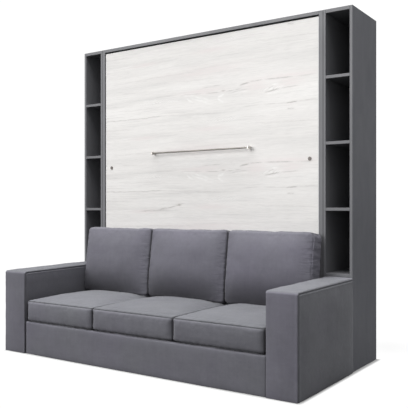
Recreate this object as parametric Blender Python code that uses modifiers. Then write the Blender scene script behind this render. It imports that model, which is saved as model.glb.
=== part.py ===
"""Vertical wall bed with a three-seat sofa in front and a narrow bookcase on each side.

Metres, +Z up. X runs along the wall, +Y points into the wall, -Y into the room.
The origin is on the floor, in the middle of the footprint.
"""

from math import atan2, cos, degrees, hypot, pi, radians, sin

import bmesh
import bpy
from mathutils import Matrix, Vector

# ---------------------------------------------------------------- dimensions
GAP = 0.0003              # between touching pieces

# cabinet
HEIGHT = 2.170
FRONT = 0.165             # front plane of the cabinet, and the bed's axis
BACK = 0.575              # wall plane
CASE_IN = 0.875           # inner face of the bed case side
CASE_OUT = 0.903
SHELF_IN = 0.9195         # niche, inner face
SHELF_OUT = 1.072
OUTER = 1.090             # outer face of the bookcase
TOP_THICK = 0.022
SHELF_THICK = 0.018
SHELF_Z = (0.568, 0.963, 1.362, 1.761)
PLINTH_TOP = 0.440        # fixed front panel below the door
BACK_SHEET = (0.565, 0.573)

# folding bed (a 1.60 x 2.00 m mattress)
PIVOT_Z = 0.470
DOOR_HALF = 0.872
DOOR_LOW = 0.484
DOOR_TOP = 2.138
DOOR_FACE = 0.172         # the door stands 7 mm behind the cabinet's front
DOOR_THICK = 0.016
PLINTH_THICK = 0.018
RAIL_IN = 0.800
RAIL_OUT = 0.825
RAIL_DEPTH = 0.030
RAIL_LOW = 0.108
RAIL_TOP = 2.136
SLAT_THICK = 0.013
MATTRESS_HALF = 0.800
MATTRESS_LOW = 0.128
MATTRESS_TOP = 2.128
MATTRESS_THICK = 0.160

# handle and the two bolt caps on the door
HANDLE_Z = 1.361
HANDLE_HALF = 0.4005      # to the outer faces of the two posts
HANDLE_Y = 0.134          # bar centre, 38 mm in front of the door
HANDLE_R = 0.0055
POST_WIDE = 0.010
POST_TALL = 0.020
CAP_X = 0.8125
CAP_Z = 1.274
CAP_R = 0.012

# hinge plates and gas springs, in the gap between bed frame and case
PLATE_X = (0.868, 0.8747)
ARM_X = (0.8255, 0.8315)
PIN_R = 0.008
BOSS_R = 0.013
SPRING_X = 0.848
SPRING_TOP = (0.265, 0.950)      # y, z of the stud on the case
LEVER = 0.120
LEVER_ANGLE = radians(-70.0)
SPRING_LOW = (FRONT + LEVER * cos(LEVER_ANGLE), PIVOT_Z + LEVER * sin(LEVER_ANGLE))
STUD_R = 0.005
TUBE_R = 0.011
ROD_R = 0.005
TUBE_LENGTH = 0.395
ROD_LENGTH = 0.375

# swing legs at the foot of the bed
LEG_PIVOT = (0.285, 2.080)       # y, z
LEG_CRANK = 0.0745
LEG_LENGTH = 0.588
LEG_HALF = 0.0125
LEG_X = (0.831, 0.851)
LEG_STUD_R = 0.006

# sofa
SOFA_FRONT = -0.575
ARM_IN = 0.914
ARM_OUT = 1.095
ARM_HEIGHT = 0.541
ARM_BACK = 0.163
SEAT_FRONT = -0.567
SEAT_BACK = 0.135
DECK_TOP = 0.213
SEAT_TOP = 0.345
SEAT_SPLIT = 0.310
SEAT_END = 0.910
SPLIT_GAP = 0.0015
CUSHION_HINGE = (-0.030, 0.360)  # y, z of the lower front edge of the back cushions
CUSHION_LEAN = radians(8.0)
CUSHION_THICK = 0.104
CUSHION_HEIGHT = 0.470

# ---------------------------------------------------------------- scene
for ob in list(bpy.data.objects):
    bpy.data.objects.remove(ob, do_unlink=True)
for block in (bpy.data.meshes, bpy.data.curves, bpy.data.materials):
    for item in list(block):
        block.remove(item)

scene = bpy.context.scene
parts = bpy.data.collections.new("wall_bed_with_sofa")
cutters = bpy.data.collections.new("cutters")
scene.collection.children.link(parts)
scene.collection.children.link(cutters)

FINISH = {
    "anthracite": ((0.115, 0.118, 0.128), 0.45, 0.0),
    "white_wood": ((0.80, 0.79, 0.76), 0.50, 0.0),
    "timber": ((0.46, 0.33, 0.20), 0.60, 0.0),
    "board": ((0.30, 0.29, 0.28), 0.65, 0.0),
    "fabric": ((0.145, 0.143, 0.165), 0.90, 0.0),
    "mattress": ((0.78, 0.77, 0.74), 0.95, 0.0),
    "black_steel": ((0.035, 0.036, 0.040), 0.40, 1.0),
    "zinc": ((0.55, 0.55, 0.54), 0.35, 1.0),
    "steel": ((0.36, 0.35, 0.34), 0.28, 1.0),
}


def finish(ob, kind):
    colour, rough, metal = FINISH[kind]
    mat = bpy.data.materials.new(ob.name + "_finish")
    mat.use_nodes = True
    bsdf = mat.node_tree.nodes["Principled BSDF"]
    bsdf.inputs["Base Color"].default_value = (*colour, 1.0)
    bsdf.inputs["Roughness"].default_value = rough
    bsdf.inputs["Metallic"].default_value = metal
    ob.data.materials.clear()
    ob.data.materials.append(mat)
    return ob


def axis_empty(name, location, parent=None, tilt=0.0):
    """An empty on a joint axis that runs along X; tilt turns it about X."""
    ob = bpy.data.objects.new(name, None)
    parts.objects.link(ob)
    ob.empty_display_size = 0.05
    matrix = Matrix.Translation(Vector(location)) @ Matrix.Rotation(tilt, 4, "X")
    if parent is not None:
        ob.parent = parent
        matrix = world[parent.name].inverted() @ matrix
        world[name] = world[parent.name] @ matrix
    else:
        world[name] = matrix
    ob.location = matrix.to_translation()
    ob.rotation_euler = matrix.to_euler()
    return ob


world = {}


def place(ob, matrix, parent):
    """Put ob at a world matrix, under an empty if one is given."""
    if parent is not None:
        ob.parent = parent
        matrix = world[parent.name].inverted() @ matrix
    ob.location = matrix.to_translation()
    ob.rotation_euler = matrix.to_euler()
    return ob


def link(name, bm, matrix, parent=None, cutter=False):
    mesh = bpy.data.meshes.new(name)
    bm.to_mesh(mesh)
    bm.free()
    ob = bpy.data.objects.new(name, mesh)
    if cutter:
        cutters.objects.link(ob)
        ob.hide_render = True
        ob.display_type = "WIRE"
    else:
        parts.objects.link(ob)
    return place(ob, matrix, parent)


def bevel(ob, width, segments=2):
    mod = ob.modifiers.new("edges", "BEVEL")
    mod.width = width
    mod.segments = segments
    mod.limit_method = "ANGLE"
    mod.angle_limit = radians(40)
    return ob


def box(name, xs, ys, zs, kind=None, parent=None, edge=0.0008, segments=1, frame=None):
    """A rectangular piece from its three spans. frame: an empty whose axes the
    spans are measured in."""
    bm = bmesh.new()
    bmesh.ops.create_cube(bm, size=1.0)
    size = Vector((xs[1] - xs[0], ys[1] - ys[0], zs[1] - zs[0]))
    bmesh.ops.scale(bm, vec=size, verts=bm.verts)
    centre = Vector(((xs[0] + xs[1]) / 2, (ys[0] + ys[1]) / 2, (zs[0] + zs[1]) / 2))
    matrix = Matrix.Translation(centre)
    if frame is not None:
        matrix = world[frame.name] @ matrix
        parent = frame
    ob = link(name, bm, matrix, parent, cutter=kind is None)
    if kind:
        if edge:
            bevel(ob, edge, segments)
        finish(ob, kind)
    return ob


ALONG = {
    "X": Matrix.Rotation(pi / 2, 4, "Y"),
    "Y": Matrix.Rotation(-pi / 2, 4, "X"),
    "Z": Matrix.Identity(4),
}


def round_bar(name, axis, centre, radius, span, kind=None, parent=None, frame=None,
              sides=24, edge=0.0):
    """A cylinder along an axis, centred on the other two coordinates."""
    bm = bmesh.new()
    bmesh.ops.create_cone(bm, cap_ends=True, segments=sides, radius1=radius,
                          radius2=radius, depth=span[1] - span[0])
    middle = (span[0] + span[1]) / 2
    a, b = centre
    where = {"X": (middle, a, b), "Y": (a, middle, b), "Z": (a, b, middle)}[axis]
    matrix = Matrix.Translation(Vector(where)) @ ALONG[axis]
    if frame is not None:
        matrix = world[frame.name] @ matrix
        parent = frame
    ob = link(name, bm, matrix, parent, cutter=kind is None)
    if kind:
        if edge:
            bevel(ob, edge, 2)
        finish(ob, kind)
        smooth(ob)
    return ob


def smooth(ob):
    ob.data.shade_smooth()
    ob.data.set_sharp_from_angle(angle=radians(35))
    return ob


def boolean(ob, other, operation):
    mod = ob.modifiers.new(operation.lower(), "BOOLEAN")
    mod.operation = operation
    mod.solver = "EXACT"
    mod.object = other
    return ob


def plate(name, outline, xs, kind, parent=None):
    """A flat plate across X from its outline in the YZ plane."""
    curve = bpy.data.curves.new(name + "_outline", "CURVE")
    curve.dimensions = "2D"
    curve.fill_mode = "BOTH"
    curve.extrude = (xs[1] - xs[0]) / 2
    spline = curve.splines.new("POLY")
    spline.points.add(len(outline) - 1)
    for point, (y, z) in zip(spline.points, outline):
        point.co = (y, z, 0.0, 1.0)
    spline.use_cyclic_u = True
    holder = bpy.data.objects.new(name + "_outline", curve)
    cutters.objects.link(holder)
    # outline x -> world y, outline y -> world z
    turn = Matrix(((0, 0, 1, 0), (1, 0, 0, 0), (0, 1, 0, 0), (0, 0, 0, 1)))
    matrix = Matrix.Translation(Vector(((xs[0] + xs[1]) / 2, 0.0, 0.0))) @ turn
    bpy.context.view_layer.update()
    graph = bpy.context.evaluated_depsgraph_get()
    mesh = bpy.data.meshes.new_from_object(holder.evaluated_get(graph))
    bpy.data.objects.remove(holder, do_unlink=True)
    bpy.data.curves.remove(curve)
    bm = bmesh.new()
    bm.from_mesh(mesh)
    bpy.data.meshes.remove(mesh)
    bmesh.ops.remove_doubles(bm, verts=bm.verts, dist=0.00001)
    bmesh.ops.recalc_face_normals(bm, faces=bm.faces)
    # the origin sits on the plate's own joint axis or, without one, on the cabinet axis
    ob = link(name, bm, matrix, parent)
    finish(ob, kind)
    return ob


def arc(centre, radius, start, stop, count=10):
    """Points on an arc in the YZ plane, angles in degrees from +Y towards +Z."""
    return [
        (centre[0] + radius * cos(radians(start + (stop - start) * i / count)),
         centre[1] + radius * sin(radians(start + (stop - start) * i / count)))
        for i in range(count + 1)
    ]


def span_x(side, low, high):
    """A positive X span, or its mirror image on the left side."""
    return (low, high) if side > 0 else (-high, -low)


SIDES = (("left", -1), ("right", 1))

# ---------------------------------------------------------------- bed case
depth = (FRONT, BACK)
for word, side in SIDES:
    box(f"case_side_{word}", span_x(side, CASE_IN, CASE_OUT), depth, (0.0, HEIGHT),
        "anthracite")
inside = CASE_IN - GAP
box("case_top", (-inside, inside), depth, (HEIGHT - TOP_THICK, HEIGHT), "anthracite")
box("case_front_panel", (-inside, inside), (FRONT, FRONT + PLINTH_THICK),
    (0.0, PLINTH_TOP), "anthracite")
under_top = HEIGHT - TOP_THICK - GAP
box("case_wall_rail", (-inside, inside), (BACK - 0.018, BACK),
    (under_top - 0.100, under_top), "anthracite")
box("case_floor_rail", (-inside, inside), (BACK - 0.018, BACK), (0.0, 0.100),
    "anthracite")

# ---------------------------------------------------------------- bookcases
for word, side in SIDES:
    box(f"bookcase_inner_side_{word}", span_x(side, CASE_OUT + GAP, SHELF_IN), depth,
        (0.0, HEIGHT), "anthracite")
    box(f"bookcase_outer_side_{word}", span_x(side, SHELF_OUT, OUTER), depth,
        (0.0, HEIGHT), "anthracite")
    across = span_x(side, SHELF_IN + GAP, SHELF_OUT - GAP)
    box(f"bookcase_top_{word}", across, depth, (HEIGHT - TOP_THICK, HEIGHT),
        "anthracite")
    box(f"bookcase_bottom_{word}", across, depth, (0.060, 0.078), "anthracite")
    box(f"bookcase_back_{word}", across, BACK_SHEET,
        (0.078 + GAP, HEIGHT - TOP_THICK - GAP), "anthracite", edge=0.0)
    for number, z in enumerate(SHELF_Z, start=1):
        box(f"shelf_{number}_{word}", across, (FRONT, BACK_SHEET[0] - GAP),
            (z - SHELF_THICK / 2, z + SHELF_THICK / 2), "anthracite")

# ---------------------------------------------------------------- folding bed
bed_axis = axis_empty("bed_axis", (0.0, FRONT, PIVOT_Z))
door_back = DOOR_FACE + DOOR_THICK
box("bed_panel", (-DOOR_HALF, DOOR_HALF), (DOOR_FACE, door_back), (DOOR_LOW, DOOR_TOP),
    "white_wood", parent=bed_axis)

rail_y = (door_back + 0.001, door_back + 0.001 + RAIL_DEPTH)
for word, side in SIDES:
    rail = box(f"bed_rail_{word}", span_x(side, RAIL_IN, RAIL_OUT), rail_y,
               (RAIL_LOW, RAIL_TOP), "black_steel", parent=bed_axis, edge=0.0)
    # the rail is an open-ended box tube
    core = box(f"rail_core_{word}", span_x(side, RAIL_IN + 0.002, RAIL_OUT - 0.002),
               (rail_y[0] + 0.002, rail_y[1] - 0.002),
               (RAIL_LOW - 0.02, RAIL_TOP + 0.02), parent=bed_axis)
    boolean(rail, core, "DIFFERENCE")

between = RAIL_IN - GAP
box("bed_foot_rail", (-between, between), rail_y, (2.116, RAIL_TOP), "black_steel",
    parent=bed_axis)
box("mattress_stop", (-between, between), (rail_y[0], rail_y[0] + 0.150),
    (0.110, 0.126), "timber", parent=bed_axis)

# slatted base: a board with two columns of slots between the slats
slat_y = (rail_y[1] - SLAT_THICK, rail_y[1])
slats = box("slat_base", (-between, between), slat_y, (0.1265, 2.1155), "timber",
            parent=bed_axis, edge=0.0)
SLOTS = 14
PITCH = 0.1400
slot = box("slat_slots", (-0.740, -0.030), (slat_y[0] - 0.01, slat_y[1] + 0.01),
           (0.180, 0.240), parent=bed_axis)
across_array = slot.modifiers.new("columns", "ARRAY")
across_array.count = 2
across_array.use_relative_offset = False
across_array.use_constant_offset = True
across_array.constant_offset_displace = (0.770, 0.0, 0.0)
across_array.use_merge_vertices = False
up_array = slot.modifiers.new("rows", "ARRAY")
up_array.count = SLOTS
up_array.use_relative_offset = False
up_array.use_constant_offset = True
up_array.constant_offset_displace = (0.0, 0.0, PITCH)
up_array.use_merge_vertices = False
boolean(slats, slot, "DIFFERENCE")

box("mattress", (-MATTRESS_HALF, MATTRESS_HALF),
    (rail_y[1] + 0.001, rail_y[1] + 0.001 + MATTRESS_THICK),
    (MATTRESS_LOW, MATTRESS_TOP), "mattress", parent=bed_axis, edge=0.020, segments=3)

# handle: a straight bar between two upright posts
bar_end = HANDLE_HALF - POST_WIDE - GAP
round_bar("handle_bar", "X", (HANDLE_Y, HANDLE_Z), HANDLE_R, (-bar_end, bar_end),
          "steel", parent=bed_axis)
for word, side in SIDES:
    box(f"handle_post_{word}", span_x(side, HANDLE_HALF - POST_WIDE, HANDLE_HALF),
        (HANDLE_Y - HANDLE_R - 0.001, DOOR_FACE - GAP),
        (HANDLE_Z - POST_TALL / 2, HANDLE_Z + POST_TALL / 2), "steel",
        parent=bed_axis)
    round_bar(f"rail_bolt_cap_{word}", "Y", (side * CAP_X, CAP_Z), CAP_R,
              (DOOR_FACE - 0.0035, DOOR_FACE - GAP), "steel", parent=bed_axis,
              edge=0.0010)

# ---------------------------------------------------------------- hinges
pivot = (FRONT, PIVOT_Z)
behind_door = door_back + 0.0025
for word, side in SIDES:
    # plate screwed to the case side, with a rounded nose that carries the pin
    outline = (
        arc(pivot, BOSS_R, 90.0, 270.0, 12)
        + [(FRONT + 0.010, PIVOT_Z - BOSS_R),
           (behind_door, 0.4435), (behind_door, 0.400), (0.300, 0.400),
           (0.300, 0.975), (0.240, 0.975), (0.225, 0.940),
           (behind_door + 0.010, 0.560), (behind_door, 0.535),
           (behind_door, PIVOT_Z + BOSS_R)]
    )
    bracket = plate(f"hinge_plate_{word}", outline, span_x(side, *PLATE_X), "zinc")
    pin = round_bar(f"pivot_pin_{word}", "X", pivot, PIN_R,
                    span_x(side, ARM_X[0] + 0.001, PLATE_X[0] + 0.002))
    stud = round_bar(f"spring_top_stud_{word}", "X", SPRING_TOP, STUD_R,
                     span_x(side, SPRING_X - 0.007, PLATE_X[0] + 0.002), sides=16)
    boolean(bracket, pin, "UNION")
    boolean(bracket, stud, "UNION")

    # arm bolted to the bed rail: it turns on the pin and has a lever for the spring
    low = SPRING_LOW
    outline = (
        arc(pivot, BOSS_R, 90.0, 270.0, 12)
        + [(FRONT + 0.012, PIVOT_Z - BOSS_R), (behind_door + 0.0015, 0.4400)]
        + arc(low, 0.0135, 180.0, 360.0, 8)
        + [(FRONT + 0.046, 0.470), (rail_y[1], 0.520), (rail_y[1], 0.800),
           (rail_y[0], 0.800), (rail_y[0], PIVOT_Z + BOSS_R)]
    )
    lever = plate(f"bed_hinge_arm_{word}", outline, span_x(side, *ARM_X), "black_steel",
                  parent=bed_axis)
    boss = round_bar(f"hinge_boss_{word}", "X", pivot, BOSS_R - 0.0004,
                     span_x(side, ARM_X[0] + 0.0005, 0.8655), parent=bed_axis)
    bore = round_bar(f"hinge_bore_{word}", "X", pivot, PIN_R + 0.0004,
                     span_x(side, ARM_X[0] - 0.01, 0.880), parent=bed_axis)
    low_stud = round_bar(f"spring_low_stud_{word}", "X", low, STUD_R,
                         span_x(side, ARM_X[0] + 0.001, SPRING_X - 0.0056), sides=16,
                         parent=bed_axis)
    boolean(lever, boss, "UNION")
    boolean(lever, low_stud, "UNION")
    boolean(lever, bore, "DIFFERENCE")

# ---------------------------------------------------------------- gas springs
dy = SPRING_LOW[0] - SPRING_TOP[0]
dz = SPRING_LOW[1] - SPRING_TOP[1]
SPRING_SPAN = hypot(dy, dz)
SPRING_TILT = atan2(dy, -dz)       # turns -Z towards the lower stud
for word, side in SIDES:
    hub = axis_empty(f"spring_axis_{word}", (side * SPRING_X, *SPRING_TOP),
                     tilt=SPRING_TILT)
    # cylinder: an eye on the case stud and a tube that is open at its lower end
    tube = round_bar(f"gas_cylinder_{word}", "Z", (0.0, 0.0), TUBE_R,
                     (-TUBE_LENGTH, -0.014), "black_steel", frame=hub)
    eye = round_bar(f"cylinder_eye_{word}", "X", (0.0, 0.0), 0.0105, (-0.005, 0.005),
                    frame=hub)
    neck = box(f"cylinder_neck_{word}", (-0.0042, 0.0042), (-0.006, 0.006),
               (-0.018, -0.006), frame=hub)
    eye_bore = round_bar(f"cylinder_eye_bore_{word}", "X", (0.0, 0.0), STUD_R + 0.0004,
                         (-0.03, 0.03), frame=hub, sides=16)
    bore = round_bar(f"cylinder_bore_{word}", "Z", (0.0, 0.0), ROD_R + 0.0006,
                     (-TUBE_LENGTH - 0.02, -0.030), frame=hub, sides=20)
    boolean(tube, neck, "UNION")
    boolean(tube, eye, "UNION")
    boolean(tube, eye_bore, "DIFFERENCE")
    boolean(tube, bore, "DIFFERENCE")

    # rod: slides in the tube and ends in an eye beside the lever's stud
    foot = axis_empty(f"rod_axis_{word}", (side * SPRING_X, *SPRING_LOW), parent=hub,
                      tilt=SPRING_TILT)
    rod = round_bar(f"gas_rod_{word}", "Z", (0.0, 0.0), ROD_R, (0.007, ROD_LENGTH),
                    "steel", frame=foot, sides=20)
    rod_eye = round_bar(f"rod_eye_{word}", "X", (0.0, 0.0), 0.0105, (-0.005, 0.005),
                        frame=foot)
    rod_bore = round_bar(f"rod_eye_bore_{word}", "X", (0.0, 0.0), STUD_R + 0.0004,
                         (-0.03, 0.03), frame=foot, sides=16)
    boolean(rod, rod_eye, "UNION")
    boolean(rod, rod_bore, "DIFFERENCE")

# ---------------------------------------------------------------- swing legs
leg_y, leg_z = LEG_PIVOT
line_y = leg_y - LEG_CRANK         # centre line of the leg when it is folded
for word, side in SIDES:
    # bracket on the rail, with the stud that the leg turns on
    bracket = box(f"leg_bracket_{word}", span_x(side, ARM_X[0], 0.8290),
                  (rail_y[0], leg_y + 0.014), (leg_z - 0.035, leg_z + 0.014),
                  "black_steel", parent=bed_axis)
    stud = round_bar(f"leg_stud_{word}", "X", LEG_PIVOT, LEG_STUD_R,
                     span_x(side, 0.8265, LEG_X[1] + 0.003), parent=bed_axis)
    boolean(bracket, stud, "UNION")

    leg_axis = axis_empty(f"leg_axis_{word}", (side * 0.841, leg_y, leg_z),
                          parent=bed_axis)
    # cranked leg: a short arm across to the long arm that hangs beside the mattress
    outline = (
        arc(LEG_PIVOT, LEG_HALF, 90.0, -90.0, 10)
        + [(line_y + LEG_HALF, leg_z - LEG_HALF),
           (line_y + LEG_HALF, leg_z - LEG_LENGTH),
           (line_y - LEG_HALF, leg_z - LEG_LENGTH)]
        + arc((line_y, leg_z), LEG_HALF, 180.0, 90.0, 6)
    )
    leg = plate(f"swing_leg_{word}", outline, span_x(side, *LEG_X), "black_steel",
                parent=leg_axis)
    bore = round_bar(f"leg_bore_{word}", "X", LEG_PIVOT, LEG_STUD_R + 0.0004,
                     span_x(side, LEG_X[0] - 0.02, LEG_X[1] + 0.02), parent=leg_axis)
    boolean(leg, bore, "DIFFERENCE")

# ---------------------------------------------------------------- sofa
for word, side in SIDES:
    box(f"sofa_arm_{word}", span_x(side, ARM_IN, ARM_OUT), (SOFA_FRONT, ARM_BACK),
        (0.0, ARM_HEIGHT), "fabric", edge=0.010, segments=3)
sofa_in = ARM_IN - GAP
box("sofa_front_board", (-sofa_in, sofa_in), (SEAT_FRONT, SEAT_FRONT + 0.025),
    (0.0, DECK_TOP), "fabric", edge=0.004, segments=2)
box("sofa_deck", (-sofa_in, sofa_in), (SEAT_FRONT + 0.025 + GAP, SEAT_BACK),
    (DECK_TOP - 0.018, DECK_TOP), "board")
box("sofa_rear_rail", (-sofa_in, sofa_in), (SEAT_BACK - 0.025, SEAT_BACK),
    (0.0, DECK_TOP - 0.018 - GAP), "timber")

THIRDS = (
    ("left", (-SEAT_END, -SEAT_SPLIT - SPLIT_GAP)),
    ("centre", (-SEAT_SPLIT + SPLIT_GAP, SEAT_SPLIT - SPLIT_GAP)),
    ("right", (SEAT_SPLIT + SPLIT_GAP, SEAT_END)),
)
for word, xs in THIRDS:
    box(f"seat_cushion_{word}", xs, (SEAT_FRONT, SEAT_BACK),
        (DECK_TOP + GAP, SEAT_TOP), "fabric", edge=0.012, segments=3)

for word, xs in THIRDS:
    # loose back cushion: it tips forward about its lower front edge
    tip = axis_empty(f"back_cushion_axis_{word}",
                     ((xs[0] + xs[1]) / 2, *CUSHION_HINGE), tilt=-CUSHION_LEAN)
    half = (xs[1] - xs[0]) / 2
    box(f"back_cushion_{word}", (-half, half), (0.0, CUSHION_THICK),
        (0.0, CUSHION_HEIGHT), "fabric", frame=tip, edge=0.014, segments=3)
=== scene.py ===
from math import cos, pi, radians, sin

import bmesh
import bpy
import numpy as np
from mathutils import Matrix, Vector, noise


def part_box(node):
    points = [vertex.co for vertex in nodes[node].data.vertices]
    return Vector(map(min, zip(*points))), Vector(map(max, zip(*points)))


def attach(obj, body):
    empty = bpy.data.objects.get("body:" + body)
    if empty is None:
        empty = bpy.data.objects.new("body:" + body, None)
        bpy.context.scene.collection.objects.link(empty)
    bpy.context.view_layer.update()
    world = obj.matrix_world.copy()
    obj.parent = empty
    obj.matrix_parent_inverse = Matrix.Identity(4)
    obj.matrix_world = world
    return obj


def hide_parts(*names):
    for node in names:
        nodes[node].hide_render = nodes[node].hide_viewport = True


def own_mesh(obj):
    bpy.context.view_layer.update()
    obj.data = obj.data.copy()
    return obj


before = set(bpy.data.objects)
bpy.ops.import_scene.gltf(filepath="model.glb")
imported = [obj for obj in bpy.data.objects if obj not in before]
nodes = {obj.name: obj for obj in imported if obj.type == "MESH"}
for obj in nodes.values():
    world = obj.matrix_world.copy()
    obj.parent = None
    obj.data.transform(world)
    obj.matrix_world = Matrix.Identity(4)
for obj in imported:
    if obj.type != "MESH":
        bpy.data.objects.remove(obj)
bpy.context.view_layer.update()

scene = bpy.context.scene

# ------------------------------------------------------------------ dimensions
FRONT = 0.165          # front plane of the cabinet
ARM_IN, ARM_OUT = 0.914, 1.095
SOFA_FRONT = -0.575
SEAT_FRONT = -0.567
ARM_TOP = 0.541
CUSHION_HINGE = (-0.030, 0.360)
CUSHION_LEAN = radians(8.0)


# ================================================================== materials
def new_material(name):
    mat = bpy.data.materials.new(name)
    mat.use_nodes = True
    tree = mat.node_tree
    return mat, tree, tree.nodes["Principled BSDF"]


def add(tree, kind, inputs=None, **props):
    node = tree.nodes.new(kind)
    for key, value in props.items():
        setattr(node, key, value)
    for key, value in (inputs or {}).items():
        node.inputs[key].default_value = value
    return node


def coords(tree, scale=(1, 1, 1), rotation=(0, 0, 0), location=(0, 0, 0)):
    where = add(tree, "ShaderNodeTexCoord")
    mapping = add(tree, "ShaderNodeMapping")
    mapping.inputs["Scale"].default_value = scale
    mapping.inputs["Rotation"].default_value = rotation
    mapping.inputs["Location"].default_value = location
    tree.links.new(where.outputs["Object"], mapping.inputs["Vector"])
    return mapping.outputs["Vector"]


def noise_tex(tree, vector, scale, detail=4.0, rough=0.55, distortion=0.0):
    tex = add(tree, "ShaderNodeTexNoise",
              {"Scale": scale, "Detail": detail, "Roughness": rough,
               "Distortion": distortion})
    tree.links.new(vector, tex.inputs["Vector"])
    return tex.outputs["Fac"]


def ramp(tree, factor, stops, interpolation="LINEAR"):
    node = add(tree, "ShaderNodeValToRGB")
    node.color_ramp.interpolation = interpolation
    elements = node.color_ramp.elements
    while len(elements) < len(stops):
        elements.new(0.5)
    for element, (position, colour) in zip(elements, stops):
        element.position = position
        element.color = (*colour, 1.0) if len(colour) == 3 else colour
    tree.links.new(factor, node.inputs["Fac"])
    return node.outputs["Color"]


def grey(value):
    return (value, value, value)


def mix(tree, factor, a, b, blend="MIX"):
    node = add(tree, "ShaderNodeMix", data_type="RGBA", blend_type=blend)
    for socket, value in (("Factor", factor), ("A", a), ("B", b)):
        target = [s for s in node.inputs if s.name == socket and
                  (s.type == "RGBA" if socket != "Factor" else s.type == "VALUE")][0]
        if isinstance(value, bpy.types.NodeSocket):
            tree.links.new(value, target)
        elif isinstance(value, (int, float)):
            target.default_value = value
        else:
            target.default_value = (*value, 1.0) if len(value) == 3 else value
    return [s for s in node.outputs if s.type == "RGBA"][0]


def math_node(tree, operation, a, b=None, clamp=False):
    node = add(tree, "ShaderNodeMath", operation=operation, use_clamp=clamp)
    for index, value in enumerate((a, b)):
        if value is None:
            continue
        if isinstance(value, bpy.types.NodeSocket):
            tree.links.new(value, node.inputs[index])
        else:
            node.inputs[index].default_value = value
    return node.outputs[0]


def bump(tree, shader, height, strength, distance, normal=None):
    node = add(tree, "ShaderNodeBump", {"Strength": strength, "Distance": distance})
    tree.links.new(height, node.inputs["Height"])
    if normal is not None:
        tree.links.new(normal, node.inputs["Normal"])
    tree.links.new(node.outputs["Normal"], shader.inputs["Normal"])
    return node.outputs["Normal"]


def separate(tree, vector):
    node = add(tree, "ShaderNodeSeparateXYZ")
    tree.links.new(vector, node.inputs["Vector"])
    return node.outputs["X"], node.outputs["Y"], node.outputs["Z"]


def seam_profile(tree, width=0.0034):
    """From the cover's stored distance to the nearest seam: the dark line itself, and the
    height of the cloth beside it, with a row of stitches."""
    far = add(tree, "ShaderNodeAttribute", attribute_name="seam").outputs["Fac"]
    along = add(tree, "ShaderNodeAttribute", attribute_name="along").outputs["Fac"]

    def bell(centre, spread):
        off = math_node(tree, "DIVIDE", math_node(tree, "SUBTRACT", far, centre), spread)
        return math_node(tree, "POWER", 2.718,
                         math_node(tree, "MULTIPLY", math_node(tree, "MULTIPLY", off, off), -1.0))

    line = bell(0.0, width)
    beat = math_node(tree, "SINE", math_node(tree, "MULTIPLY", along, 2 * pi / 0.0065))
    stitch = math_node(tree, "MULTIPLY", bell(0.0058, 0.0011),
                       math_node(tree, "GREATER_THAN", beat, -0.3))
    ridge = math_node(tree, "SUBTRACT", math_node(tree, "MULTIPLY", bell(0.009, 0.006), 0.35),
                      math_node(tree, "ADD", line, math_node(tree, "MULTIPLY", stitch, 0.5)))
    return line, ridge


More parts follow.
